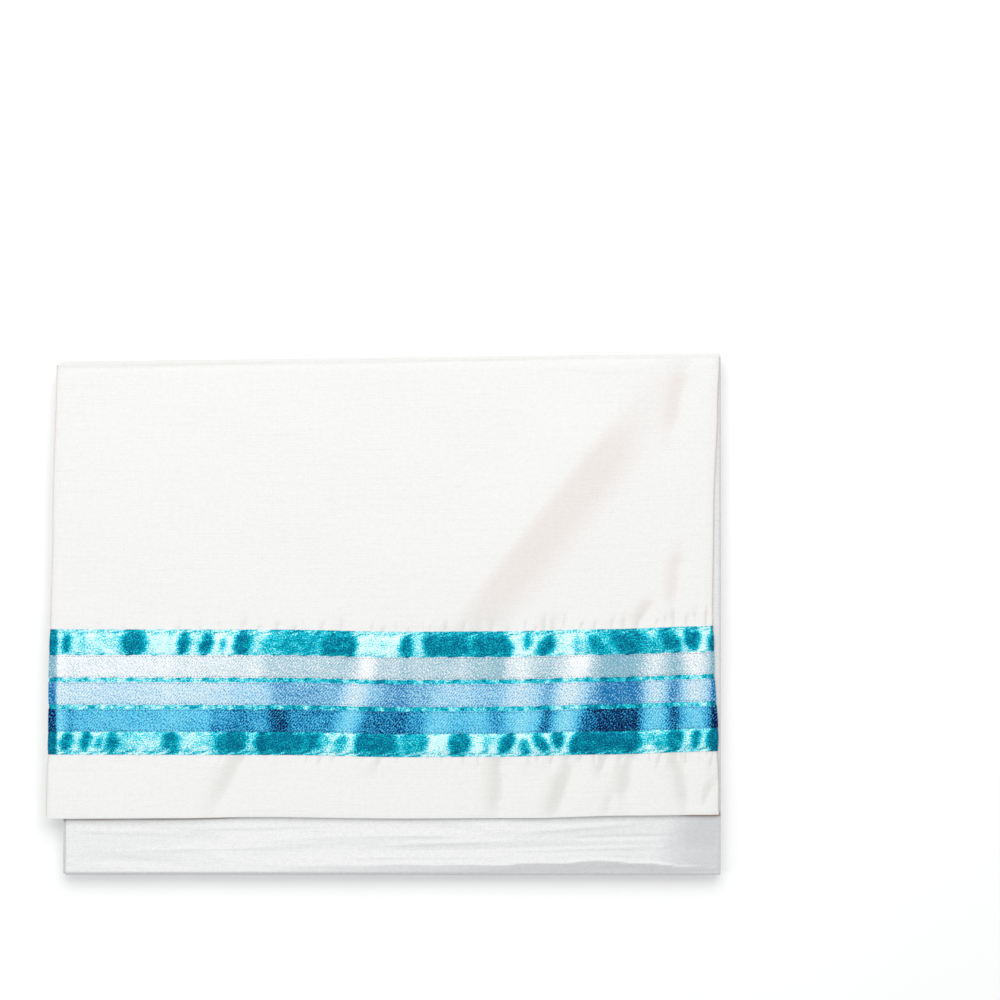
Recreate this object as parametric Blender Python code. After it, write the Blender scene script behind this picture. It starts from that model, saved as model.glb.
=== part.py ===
"""A prayer shawl of white slubbed cloth, folded flat: in thirds across, then in six panels along.

Metres, +Z up. The origin is on the surface that the bundle lies on, under the middle of its box.
+X runs along the ribbon band. +Y runs from the open hem, where the lower panel shows, to the back fold.

The panel with the band lies on top. It turns over the back fold into the second panel, which shows
past the hem and turns under at the front fold. The other four panels are hidden, and share one solid
whose edges keep the lips of the folded layers.
"""

import math
from collections import namedtuple

import bpy
from mathutils import Vector

MM = 0.001

# The folded bundle, seen from above
BUNDLE_LEFT = -0.1916
BUNDLE_RIGHT = 0.2025
BUNDLE_FRONT = -0.1569
BACK_AT_LEFT = 0.1520
BACK_AT_RIGHT = 0.1569

# Cloth: each panel is three thirds lying on one another
CLOTH_WALL = 2.4 * MM
PANEL_GAP = 0.4 * MM
SEAM_GAP = 0.3 * MM
LAYER_PITCH = 2.6 * MM
LAYERS_UNDER_STUB = 3
STUB_LENGTH = 16.0 * MM

# Ribbons
RIBBON_WALL = 1.0 * MM
RIBBON_WIDTH = 13.5 * MM
RIBBON_SPACE = 2.7 * MM
BAND_WIDTH = 75.0 * MM
BAND_MIDDLE = -46.4 * MM
TOPSTITCH_INSET = 1.8 * MM
FIRST_RIBBON_INSET = 15.3 * MM
BAND_PINCH = 1.3 * MM
PINCH_FADE = 5.0 * MM
WRAP_ANGLES = (-12.0, 20.0, 55.0)
SLOPE_STEP = 0.5 * MM

# Levels above the surface
UNDER_STUB_TOP = LAYERS_UNDER_STUB * LAYER_PITCH
STUB_MIDDLE = UNDER_STUB_TOP + SEAM_GAP + CLOTH_WALL / 2
STUB_TOP = STUB_MIDDLE + CLOTH_WALL / 2
SECOND_MIDDLE = STUB_MIDDLE + CLOTH_WALL + SEAM_GAP
TOP_MIDDLE = SECOND_MIDDLE + CLOTH_WALL + PANEL_GAP

# Folds: the middle line's radius, and the outer face's
FRONT_TURN = (SECOND_MIDDLE - STUB_MIDDLE) / 2
FRONT_REACH = FRONT_TURN + CLOTH_WALL / 2
BACK_TURN = (TOP_MIDDLE - SECOND_MIDDLE) / 2
BACK_REACH = BACK_TURN + CLOTH_WALL / 2
TURN_STEPS = 6

# How the top face rolls off at the side folds, and the ends of the cloth's cross-section
EDGE_ROLL_WIDTH = 9.0 * MM
EDGE_ROLL_DROP = 0.8 * MM
BACK_ROLL_WIDTH = 8.0 * MM
BACK_ROLL_DROP = 0.5 * MM
SIDE_ANGLES = (60.0, 20.0, -20.0, -60.0)
HEM_LIFT = 0.9 * MM
HEM_LIFT_WIDTH = 45.0 * MM

# Places along the shawl's left and right edges, as distances from the origin
EdgeRow = namedtuple("EdgeRow", "y x")
TOP_LEFT_EDGE = (
    EdgeRow(-0.1220, -0.2025),
    EdgeRow(-0.0500, -0.2010),
    EdgeRow(0.0570, -0.1985),
    EdgeRow(0.1520, -0.1962),
)
TOP_RIGHT_EDGE = (
    EdgeRow(-0.1200, 0.2013),
    EdgeRow(-0.0740, 0.2009),
    EdgeRow(-0.0300, 0.1985),
    EdgeRow(-0.0020, 0.1975),
    EdgeRow(0.0600, 0.1982),
    EdgeRow(0.1280, 0.2006),
    EdgeRow(0.1569, 0.2019),
)
SECOND_LEFT_EDGE = (EdgeRow(BUNDLE_FRONT, -0.1928), EdgeRow(BACK_AT_LEFT, -0.1900))
SECOND_RIGHT_EDGE = (EdgeRow(BUNDLE_FRONT, BUNDLE_RIGHT), EdgeRow(BACK_AT_RIGHT, BUNDLE_RIGHT))

# Lines that run across the shawl and drift a little out of straight
DriftRow = namedtuple("DriftRow", "x y")
HEM_LINE = (
    DriftRow(-0.2025, -0.1223),
    DriftRow(-0.1200, -0.1219),
    DriftRow(-0.0750, -0.1213),
    DriftRow(0.0100, -0.1222),
    DriftRow(0.0850, -0.1220),
    DriftRow(0.1450, -0.1205),
    DriftRow(0.2013, -0.1200),
)
BAND_DRIFT = (
    DriftRow(-0.2025, 0.0 * MM),
    DriftRow(-0.0600, -0.2 * MM),
    DriftRow(0.0100, -1.5 * MM),
    DriftRow(0.0700, -1.2 * MM),
    DriftRow(0.1300, 0.1 * MM),
    DriftRow(0.2013, 2.0 * MM),
)

# Gathers that the stitched ribbons pull into the cloth: the crest's place, the wave's height under
# the band, and how far the satin puffs up beside the ribbons on the back side and the front side
Gather = namedtuple("Gather", "x wave back_puff front_puff")
GATHERS = (
    Gather(-0.1930, 0.25 * MM, 0.50 * MM, 0.60 * MM),
    Gather(-0.1790, 0.30 * MM, 0.30 * MM, 0.35 * MM),
    Gather(-0.1670, 0.20 * MM, 0.35 * MM, 0.50 * MM),
    Gather(-0.1485, 0.45 * MM, 0.70 * MM, 0.40 * MM),
    Gather(-0.1330, 0.25 * MM, 0.35 * MM, 0.45 * MM),
    Gather(-0.1195, 0.30 * MM, 0.50 * MM, 0.60 * MM),
    Gather(-0.1065, 0.30 * MM, 0.55 * MM, 0.35 * MM),
    Gather(-0.0955, 0.25 * MM, 0.40 * MM, 0.55 * MM),
    Gather(-0.0830, 0.35 * MM, 0.60 * MM, 0.50 * MM),
    Gather(-0.0670, 0.30 * MM, 0.45 * MM, 0.40 * MM),
    Gather(-0.0500, 0.40 * MM, 0.55 * MM, 0.50 * MM),
    Gather(-0.0290, 0.45 * MM, 0.60 * MM, 0.55 * MM),
    Gather(-0.0105, 0.35 * MM, 0.40 * MM, 0.45 * MM),
    Gather(0.0050, 0.40 * MM, 0.55 * MM, 0.50 * MM),
    Gather(0.0215, 0.30 * MM, 0.50 * MM, 0.55 * MM),
    Gather(0.0380, 0.45 * MM, 0.60 * MM, 0.45 * MM),
    Gather(0.0520, 0.30 * MM, 0.40 * MM, 0.60 * MM),
    Gather(0.0670, 0.50 * MM, 0.60 * MM, 0.50 * MM),
    Gather(0.0860, 0.40 * MM, 0.65 * MM, 0.60 * MM),
    Gather(0.0980, 0.30 * MM, 0.50 * MM, 0.45 * MM),
    Gather(0.1130, 0.45 * MM, 0.55 * MM, 0.60 * MM),
    Gather(0.1345, 0.50 * MM, 0.50 * MM, 0.40 * MM),
    Gather(0.1467, 0.40 * MM, 0.55 * MM, 0.35 * MM),
    Gather(0.1623, 0.45 * MM, 0.60 * MM, 0.60 * MM),
    Gather(0.1750, 0.35 * MM, 0.50 * MM, 0.50 * MM),
    Gather(0.1860, 0.30 * MM, 0.55 * MM, 0.55 * MM),
)
GATHER_FADE = 14.0 * MM

# Soft creases in the top panel, from one end to the other; a negative height is a trough
Crease = namedtuple("Crease", "x1 y1 x2 y2 width height")
TOP_CREASES = (
    Crease(0.150, 0.124, 0.049, 0.003, 13.0 * MM, 0.9 * MM),
    Crease(0.176, 0.140, 0.164, 0.106, 7.0 * MM, -0.6 * MM),
    Crease(0.174, 0.036, 0.171, 0.001, 6.0 * MM, -0.6 * MM),
    Crease(0.165, 0.012, 0.153, -0.004, 6.0 * MM, -0.4 * MM),
    Crease(-0.080, -0.088, -0.099, -0.114, 6.0 * MM, -0.5 * MM),
    Crease(0.069, -0.088, 0.067, -0.117, 7.0 * MM, -0.6 * MM),
    Crease(0.112, -0.088, 0.102, -0.116, 7.0 * MM, -0.5 * MM),
    Crease(0.144, -0.086, 0.143, -0.106, 6.0 * MM, -0.5 * MM),
    Crease(0.176, -0.086, 0.178, -0.111, 6.0 * MM, -0.5 * MM),
)
SECOND_CREASES = (
    Crease(-0.100, -0.137, 0.090, -0.132, 5.0 * MM, 0.3 * MM),
    Crease(-0.010, -0.144, 0.160, -0.142, 4.0 * MM, -0.3 * MM),
)
FRONT_ROLL_WIDTH = 9.0 * MM
FRONT_ROLL_DROP = 1.0 * MM
FRONT_ROLL_START = -0.130
FRONT_ROLL_FULL = 0.060
SHOWN_FADE = 4.0 * MM

# Rows of points along the top panel: how many steps there are in each stretch
HEM_TO_BAND_STEPS = 4
BAND_TO_BACK_STEPS = 15
SECOND_HIDDEN_STEPS = 3
SECOND_SHOWN_ROWS = (-0.1180, -0.1260, -0.1330, -0.1390, -0.1450, -0.1500)

# The hidden layers, from the bottom up: how far each edge keeps inside the second panel's outline,
# and the radius of the corners
Layer = namedtuple("Layer", "left right front back corner")
HIDDEN_LAYERS = (
    Layer(1.4 * MM, 1.6 * MM, 1.2 * MM, 1.2 * MM, 3.0 * MM),
    Layer(0.6 * MM, 0.8 * MM, 0.6 * MM, 1.2 * MM, 3.0 * MM),
    Layer(1.8 * MM, 0.4 * MM, 0.6 * MM, 0.6 * MM, 3.0 * MM),
    Layer(1.0 * MM, 1.1 * MM, STUB_LENGTH + SEAM_GAP, 0.6 * MM, 1.0 * MM),
)
LIP_SHARES = (0.02, 0.14, 0.5, 0.86, 0.98)
CORNER_STEPS = 3
SIDE_STEPS = 5
SIDE_BOW = 0.6 * MM
SMOOTH_ANGLE = math.radians(40)

# Finishes
Finish = namedtuple("Finish", "colour roughness sheen")
WHITE_SLUB = Finish((0.86, 0.85, 0.83, 1.0), 0.70, 0.3)
TURQUOISE_SATIN = Finish((0.00, 0.50, 0.60, 1.0), 0.28, 0.2)
SILVER_TWILL = Finish((0.62, 0.72, 0.76, 1.0), 0.40, 0.2)
SKY_TWILL = Finish((0.28, 0.48, 0.74, 1.0), 0.40, 0.2)
ROYAL_TWILL = Finish((0.04, 0.24, 0.44, 1.0), 0.40, 0.2)


def smooth(share):
    """A share from 0 to 1, eased at both ends and held there outside them."""
    share = min(1.0, max(0.0, share))
    return share * share * (3 - 2 * share)


def mix(a, b, share):
    return a + (b - a) * share


def eased(table, at):
    """The second column of a two-column table at a place in its first, eased from row to row."""
    if at <= table[0][0]:
        return table[0][1]
    for low, high in zip(table, table[1:]):
        if at <= high[0]:
            return mix(low[1], high[1], smooth((at - low[0]) / (high[0] - low[0])))
    return table[-1][1]


def straight(table, at):
    """The same along straight lines, carried on past the ends."""
    (start, low), (end, high) = table[0], table[-1]
    return mix(low, high, (at - start) / (end - start))


def crease_height(creases, x, y):
    """What soft creases add at a point: rounded ridges and troughs that fade at their ends."""
    total = 0.0
    for crease in creases:
        start = Vector((crease.x1, crease.y1))
        along = Vector((crease.x2, crease.y2)) - start
        share = min(1.0, max(0.0, (Vector((x, y)) - start).dot(along) / along.length_squared))
        away = (Vector((x, y)) - start - along * share).length / crease.width
        total += crease.height * math.exp(-away * away)
    return total


# The outline

def back_line(x):
    return straight(((BUNDLE_LEFT, BACK_AT_LEFT), (BUNDLE_RIGHT, BACK_AT_RIGHT)), x)


def band_line(x, inset):
    """A line along the band, at a distance from the band's front edge."""
    return BAND_MIDDLE + eased(BAND_DRIFT, x) - BAND_WIDTH / 2 + inset


def in_band(x, y, fade):
    """1 under the band, falling to 0 at the fade's distance from it."""
    outside = abs(y - BAND_MIDDLE - eased(BAND_DRIFT, x)) - BAND_WIDTH / 2
    return 1.0 - smooth(outside / fade)


def top_edges(y):
    """The top panel's left and right edges, drawn in a little where the band goes round them."""
    pinch = BAND_PINCH * in_band(0.0, y, PINCH_FADE)
    return eased(TOP_LEFT_EDGE, y) + pinch, eased(TOP_RIGHT_EDGE, y) - pinch


def second_edges(y):
    return straight(SECOND_LEFT_EDGE, y), straight(SECOND_RIGHT_EDGE, y)


# Columns: one at each gather's crest and one in each valley, as shares of the way across

def gather_columns():
    crests = [gather.x for gather in GATHERS]
    valleys = [(a + b) / 2 for a, b in zip(crests, crests[1:])]
    return sorted(crests + valleys)


def column_shares():
    left, right = top_edges(BAND_MIDDLE)
    inner_left = left + CLOTH_WALL / 2
    inner_right = right - CLOTH_WALL / 2
    places = [inner_left] + gather_columns() + [inner_right]
    return [(x - inner_left) / (inner_right - inner_left) for x in places]


def gather_wave(x, column):
    """A gather's value at a point: its own at its crest, nothing in the valleys beside it."""
    valleys = [(a.x + b.x) / 2 for a, b in zip(GATHERS, GATHERS[1:])]
    stops = [top_edges(BAND_MIDDLE)[0]] + valleys + [top_edges(BAND_MIDDLE)[1]]
    for gather, low, high in zip(GATHERS, stops, stops[1:]):
        if low <= x <= high:
            half = gather.x - low if x < gather.x else high - gather.x
            return column(gather) * smooth(1 - abs(x - gather.x) / half)
    return 0.0


# The faces' heights

def side_roll(x, edges):
    near = min(x - edges[0], edges[1] - x)
    return -EDGE_ROLL_DROP * (1 - smooth(near / EDGE_ROLL_WIDTH))


def top_relief(x, y):
    """What the top panel's upper face adds to the plain wall."""
    back_roll = -BACK_ROLL_DROP * (1 - smooth((back_line(x) - y) / BACK_ROLL_WIDTH))
    gathers = gather_wave(x, lambda gather: gather.wave) * in_band(x, y, GATHER_FADE)
    creases = crease_height(TOP_CREASES, x, y) * (1 - in_band(x, y, GATHER_FADE / 2))
    return side_roll(x, top_edges(y)) + back_roll + gathers + creases


def hem_lift(x, y):
    """How far the top panel's front left corner stands off the panel beneath."""
    along = smooth(1 - (x - BUNDLE_LEFT) / (BUNDLE_RIGHT - BUNDLE_LEFT))
    return HEM_LIFT * along * smooth(1 - (y - eased(HEM_LINE, x)) / HEM_LIFT_WIDTH)


def second_relief(x, y):
    """What the second panel's upper face adds to the plain wall, rolling off towards the front fold."""
    along = smooth((x - FRONT_ROLL_START) / (FRONT_ROLL_FULL - FRONT_ROLL_START))
    front_roll = -FRONT_ROLL_DROP * along * (1 - smooth((y - BUNDLE_FRONT) / FRONT_ROLL_WIDTH))
    shown = smooth((SECOND_SHOWN_ROWS[0] - y) / SHOWN_FADE)
    return (front_roll + crease_height(SECOND_CREASES, x, y)) * shown


# Stations: closed sections of the cloth, one after another along its length

def section(shares, edges_of, line, middle, normal, upper, lower):
    """One closed section of the wall, left to right along its outer face and back along its inner one.

    line gives y from x, middle the wall's middle height, and normal points out of the outer face in
    the YZ plane. upper and lower give the faces' distances from the middle.
    """
    out = Vector((0.0, math.cos(normal), math.sin(normal)))
    half = CLOTH_WALL / 2

    def point(x, away):
        y = line(x)
        return Vector((x, y, middle(x, y))) + out * away

    def across(share):
        rough = mix(BUNDLE_LEFT, BUNDLE_RIGHT, share)
        left, right = edges_of(line(rough))
        return mix(left + half, right - half, share)

    places = [across(share) for share in shares]
    outer = [point(x, upper(x, line(x))) for x in places]
    inner = [point(x, -lower(x, line(x))) for x in places]
    right_side = side_turn(point, places[-1], upper, lower, line, 1.0)
    left_side = side_turn(point, places[0], upper, lower, line, -1.0)
    return outer + right_side + inner[::-1] + left_side[::-1]


def side_turn(point, x, upper, lower, line, outwards):
    """The rounded side of a section, from its outer face to its inner one."""
    turned = []
    for degrees in SIDE_ANGLES:
        angle = math.radians(degrees)
        reach = x + outwards * CLOTH_WALL / 2 * math.cos(angle)
        height = upper(x, line(x)) if degrees > 0 else lower(x, line(x))
        turned.append(point(reach, height * math.sin(angle)))
    return turned


def plain_half(x, y):
    return CLOTH_WALL / 2


def top_half(x, y):
    return CLOTH_WALL / 2 + top_relief(x, y)


def second_half(x, y):
    return CLOTH_WALL / 2 + second_relief(x, y)


def top_middle(x, y):
    return TOP_MIDDLE + hem_lift(x, y)


def band_insets():
    """The distances of the satin's rows of points from the band's front edge."""
    ribbons = [inset for low, high in ribbon_insets() for inset in (low, (low + high) / 2, high)]
    front_puff = mix(TOPSTITCH_INSET, ribbons[0], 0.5)
    back_puff = mix(ribbons[-1], BAND_WIDTH - TOPSTITCH_INSET, 0.5)
    back_stitch = BAND_WIDTH - TOPSTITCH_INSET
    return [0.0, TOPSTITCH_INSET, front_puff] + ribbons + [back_puff, back_stitch, BAND_WIDTH]


def ribbon_insets():
    """Each ribbon's front and back edges, from the front one to the back one."""
    start = BAND_WIDTH - FIRST_RIBBON_INSET - 3 * RIBBON_WIDTH - 2 * RIBBON_SPACE
    pitch = RIBBON_WIDTH + RIBBON_SPACE
    return [(start + i * pitch, start + i * pitch + RIBBON_WIDTH) for i in range(3)]


def top_lines():
    """The lines that the top panel's rows of points follow, from the hem to the back fold."""
    lines = []
    for i in range(HEM_TO_BAND_STEPS):
        share = i / HEM_TO_BAND_STEPS
        lines.append(lambda x, s=share: mix(eased(HEM_LINE, x), band_line(x, 0.0), s))
    for inset in band_insets():
        lines.append(lambda x, inset=inset: band_line(x, inset))
    for i in range(1, BAND_TO_BACK_STEPS + 1):
        share = i / BAND_TO_BACK_STEPS
        lines.append(
            lambda x, s=share: mix(band_line(x, BAND_WIDTH), back_line(x) - BACK_REACH, s)
        )
    return lines


def top_stations(shares):
    up = math.pi / 2
    return [
        section(shares, top_edges, line, top_middle, up, top_half, plain_half)
        for line in top_lines()
    ]


def back_fold_stations(shares):
    """Round the back fold, from the top panel's level down to the second panel's."""
    centre = TOP_MIDDLE - BACK_TURN
    stations = []
    for step in range(1, TURN_STEPS):
        turned = step / TURN_STEPS
        normal = math.pi / 2 - math.pi * turned

        def line(x, normal=normal):
            return back_line(x) - BACK_REACH + BACK_TURN * math.cos(normal)

        def edges(y, turned=turned):
            top, second = top_edges(y), second_edges(y)
            return mix(top[0], second[0], turned), mix(top[1], second[1], turned)

        def outer_half(x, y, turned=turned):
            return CLOTH_WALL / 2 + top_relief(x, y) * smooth(1 - 2 * turned)

        def middle(x, y, normal=normal):
            return centre + BACK_TURN * math.sin(normal)

        stations.append(section(shares, edges, line, middle, normal, outer_half, plain_half))
    return stations


def second_lines():
    """The lines of the second panel's rows, from the back fold to the front fold."""
    first_shown = SECOND_SHOWN_ROWS[0]
    lines = []
    for i in range(SECOND_HIDDEN_STEPS):
        share = i / SECOND_HIDDEN_STEPS
        lines.append(lambda x, s=share: mix(back_line(x) - BACK_REACH, first_shown, s))
    for row in SECOND_SHOWN_ROWS:
        lines.append(lambda x, row=row: row)
    lines.append(lambda x: BUNDLE_FRONT + FRONT_REACH)
    return lines


def second_stations(shares):
    down = -math.pi / 2
    return [
        section(
            shares, second_edges, line, lambda x, y: SECOND_MIDDLE, down, plain_half, second_half
        )
        for line in second_lines()
    ]


def front_fold_stations(shares):
    """Round the front fold, and on into the short stub that goes back under the second panel."""
    centre = SECOND_MIDDLE - FRONT_TURN
    stations = []
    for step in range(1, TURN_STEPS + 1):
        turned = step / TURN_STEPS
        normal = -math.pi / 2 + math.pi * turned

        def line(x, normal=normal):
            return BUNDLE_FRONT + FRONT_REACH - FRONT_TURN * math.cos(normal)

        def inner_half(x, y, turned=turned):
            return CLOTH_WALL / 2 + second_relief(x, y) * smooth(1 - 2 * turned)

        def middle(x, y, normal=normal):
            return centre - FRONT_TURN * math.sin(normal)

        stations.append(
            section(shares, second_edges, line, middle, normal, plain_half, inner_half)
        )
    stations.append(
        section(
            shares,
            second_edges,
            lambda x: BUNDLE_FRONT + STUB_LENGTH,
            lambda x, y: STUB_MIDDLE,
            math.pi / 2,
            plain_half,
            plain_half,
        )
    )
    return stations


# Meshes

def add_object(name, points, faces, finish):
    mesh = bpy.data.meshes.new(name)
    mesh.from_pydata([tuple(point) for point in points], [], faces)
    mesh.materials.append(material(name, finish))
    mesh.shade_smooth()
    mesh.set_sharp_from_angle(angle=SMOOTH_ANGLE)
    solid = bpy.data.objects.new(name, mesh)
    bpy.context.scene.collection.objects.link(solid)
    return solid


def material(name, finish):
    made = bpy.data.materials.new(name)
    made.use_nodes = True
    shader = made.node_tree.nodes["Principled BSDF"]
    shader.inputs["Base Color"].default_value = finish.colour
    shader.inputs["Roughness"].default_value = finish.roughness
    shader.inputs["Sheen Weight"].default_value = finish.sheen
    return made


def loft(rings):
    """Points and faces of closed rings joined one after another, with open ends."""
    count = len(rings[0])
    points = [point for ring in rings for point in ring]
    faces = []
    for row in range(len(rings) - 1):
        for i in range(count):
            j = (i + 1) % count
            here, ahead = row * count, (row + 1) * count
            faces.append((here + i, here + j, ahead + j, ahead + i))
    return points, faces


def section_cap(first, columns):
    """Quads that close a section of the wall, between its outer and inner faces."""
    sides = len(SIDE_ANGLES)
    inner_start = columns + sides

    def outer(i):
        return first + i

    def inner(i):
        return first + inner_start + columns - 1 - i

    faces = [(outer(i), outer(i + 1), inner(i + 1), inner(i)) for i in range(columns - 1)]
    right = [outer(columns - 1)] + [first + columns + i for i in range(sides)]
    faces.append(tuple(right + [inner(columns - 1)]))
    left = [inner(0)] + [first + inner_start + columns + i for i in range(sides)]
    faces.append(tuple(left + [outer(0)]))
    return faces


def make_shawl_cloth(shares):
    """The cloth that shows: the top panel, the back fold, the second panel and the front fold."""
    rings = top_stations(shares) + back_fold_stations(shares)
    rings += second_stations(shares) + front_fold_stations(shares)
    points, faces = loft(rings)
    last = len(points) - len(rings[0])
    faces += [face[::-1] for face in section_cap(0, len(shares))]
    faces += section_cap(last, len(shares))
    return add_object("shawl_cloth", points, faces, WHITE_SLUB)


def lip_inset(height, seams, deepest):
    """How far a rounded lip draws in at a height, between the two seams beside it."""
    for low, high in zip(seams, seams[1:]):
        if low <= height <= high:
            half = (high - low) / 2
            from_middle = abs(height - (low + high) / 2) / half
            return min(half, deepest) * (1 - math.sqrt(max(0.0, 1 - from_middle * from_middle)))
    return 0.0


def layer_outline(left, right, front, back, radius):
    """A rounded rectangle's points, anticlockwise, with each side bowed in a little between its corners."""
    corners = (
        (Vector((left, front)), Vector((1, 1)), 180.0),
        (Vector((right, front)), Vector((-1, 1)), 270.0),
        (Vector((right, back(right))), Vector((-1, -1)), 0.0),
        (Vector((left, back(left))), Vector((1, -1)), 90.0),
    )
    arcs = []
    for corner, inwards, start in corners:
        centre = corner + inwards * radius
        arc = []
        for step in range(CORNER_STEPS + 1):
            angle = math.radians(start + 90.0 * step / CORNER_STEPS)
            arc.append(centre + Vector((math.cos(angle), math.sin(angle))) * radius)
        arcs.append(arc)
    points = []
    for arc, ahead in zip(arcs, arcs[1:] + arcs[:1]):
        points += arc
        side = ahead[0] - arc[-1]
        inwards = Vector((-side.y, side.x)).normalized()
        for step in range(1, SIDE_STEPS):
            share = step / SIDE_STEPS
            bow = SIDE_BOW * math.sin(math.pi * share)
            points.append(arc[-1] + side * share + inwards * bow)
    return points


def make_hidden_folds():
    """The four hidden panels as one rounded solid, with a lip along each edge for each layer or fold."""
    levels = [i * LAYER_PITCH for i in range(LAYERS_UNDER_STUB + 1)] + [STUB_TOP]
    side_seams = levels
    front_seams = [levels[0], levels[1], levels[3], levels[4]]
    back_seams = [levels[0], levels[2], levels[4]]
    half = LAYER_PITCH / 2
    rings = []
    for layer, low, high in zip(HIDDEN_LAYERS, levels, levels[1:]):
        for share in LIP_SHARES:
            height = mix(low, high, share)
            side = lip_inset(height, side_seams, half)
            front = lip_inset(height, front_seams, LAYER_PITCH) if layer.front < STUB_LENGTH else 0.0
            back = lip_inset(height, back_seams, LAYER_PITCH)
            outline = layer_outline(
                BUNDLE_LEFT + layer.left + side,
                BUNDLE_RIGHT - layer.right - side,
                BUNDLE_FRONT + layer.front + front,
                lambda x, inset=layer.back + back: back_line(x) - inset,
                layer.corner,
            )
            rings.append([Vector((point.x, point.y, height)) for point in outline])
    underside = [Vector((point.x, point.y, levels[0])) for point in rings[0]]
    upper_side = [Vector((point.x, point.y, levels[-1])) for point in rings[-1]]
    rings = [underside] + rings + [upper_side]
    points, faces = loft(rings)
    count = len(rings[0])
    faces.append(tuple(reversed(range(count))))
    faces.append(tuple(range(len(points) - count, len(points))))
    return add_object("hidden_folds", points, faces, WHITE_SLUB)


# Ribbons, made from the top panel's points moved out

def skin_row(shares, line, away, puff=None):
    """Points a distance above the top panel's upper face, along a line, from one side turn to the other."""
    half = CLOTH_WALL / 2

    def place(share):
        rough = mix(BUNDLE_LEFT, BUNDLE_RIGHT, share)
        left, right = top_edges(line(rough))
        return mix(left + half, right - half, share)

    def height(x):
        y = line(x)
        return top_middle(x, y) + top_half(x, y)

    def over(x):
        y = line(x)
        low, high = max(x - SLOPE_STEP, places[0]), min(x + SLOPE_STEP, places[-1])
        slope = (height(high) - height(low)) / (high - low)
        normal = Vector((-slope, 0.0, 1.0)).normalized()
        raised = away + (gather_wave(x, puff) if puff else 0.0)
        return Vector((x, y, height(x))) + normal * raised

    def turn(x, outwards):
        turned = []
        y = line(x)
        for degrees in WRAP_ANGLES:
            angle = math.radians(degrees)
            flat = half * math.cos(angle) + away * math.cos(angle)
            rise = top_half(x, y) if degrees > 0 else half
            up = (rise + away) * math.sin(angle)
            turned.append(Vector((x + outwards * flat, y, top_middle(x, y) + up)))
        return turned

    places = [place(share) for share in shares]
    left = turn(places[0], -1.0)
    right = turn(places[-1], 1.0)
    return left + [over(x) for x in places] + right[::-1]


def wall(name, lower, upper, finish):
    """A closed wall between two grids of points of the same size."""
    rows, columns = len(lower), len(lower[0])
    points = [point for grid in (lower, upper) for row in grid for point in row]

    def at(side, row, column):
        return (side * rows + row) * columns + column

    faces = []
    for r in range(rows - 1):
        for c in range(columns - 1):
            corners = ((r, c), (r, c + 1), (r + 1, c + 1), (r + 1, c))
            faces.append(tuple(at(1, *corner) for corner in corners))
            faces.append(tuple(at(0, *corner) for corner in reversed(corners)))
    rim = [(0, c) for c in range(columns)] + [(r, columns - 1) for r in range(1, rows)]
    rim += [(rows - 1, c) for c in range(columns - 2, -1, -1)] + [(r, 0) for r in range(rows - 2, 0, -1)]
    for here, ahead in zip(rim, rim[1:] + rim[:1]):
        faces.append((at(0, *here), at(0, *ahead), at(1, *ahead), at(1, *here)))
    return add_object(name, points, faces, finish)


def make_satin_band(shares):
    """The wide satin ribbon under the others, puffed up where it shows beside them."""
    insets = band_insets()
    puffs = {2: lambda gather: gather.front_puff, len(insets) - 3: lambda gather: gather.back_puff}
    lower, upper = [], []
    for i, inset in enumerate(insets):
        def line(x, inset=inset):
            return band_line(x, inset)

        lower.append(skin_row(shares, line, SEAM_GAP, puffs.get(i)))
        upper.append(skin_row(shares, line, SEAM_GAP + RIBBON_WALL, puffs.get(i)))
    return wall("satin_band", lower, upper, TURQUOISE_SATIN)


def make_ribbon(shares, name, edges, finish):
    """A narrow twill ribbon, on the satin."""
    under = SEAM_GAP + RIBBON_WALL + SEAM_GAP
    lower, upper = [], []
    for share in (0.0, 0.5, 1.0):
        def line(x, inset=mix(edges[0], edges[1], share)):
            return band_line(x, inset)

        lower.append(skin_row(shares, line, under))
        upper.append(skin_row(shares, line, under + RIBBON_WALL))
    return wall(name, lower, upper, finish)


def main():
    for old in list(bpy.data.objects):
        bpy.data.objects.remove(old)
    shares = column_shares()
    make_shawl_cloth(shares)
    make_hidden_folds()
    make_satin_band(shares)
    royal, sky, silver = ribbon_insets()
    make_ribbon(shares, "silver_ribbon", silver, SILVER_TWILL)
    make_ribbon(shares, "sky_ribbon", sky, SKY_TWILL)
    make_ribbon(shares, "royal_ribbon", royal, ROYAL_TWILL)


main()
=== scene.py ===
"""The looks of a folded prayer shawl: its layered cloth, ribbons, stitching, floor, light and camera.

Metres, +Z up. +X runs along the ribbon band and +Y from the open hem to the back fold. Each panel of the
cloth is folded in thirds: an outer third, a middle one tucked under it from the left fold, and a third
that goes round the right fold and lies beneath both.
"""
import math
from collections import namedtuple

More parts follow.
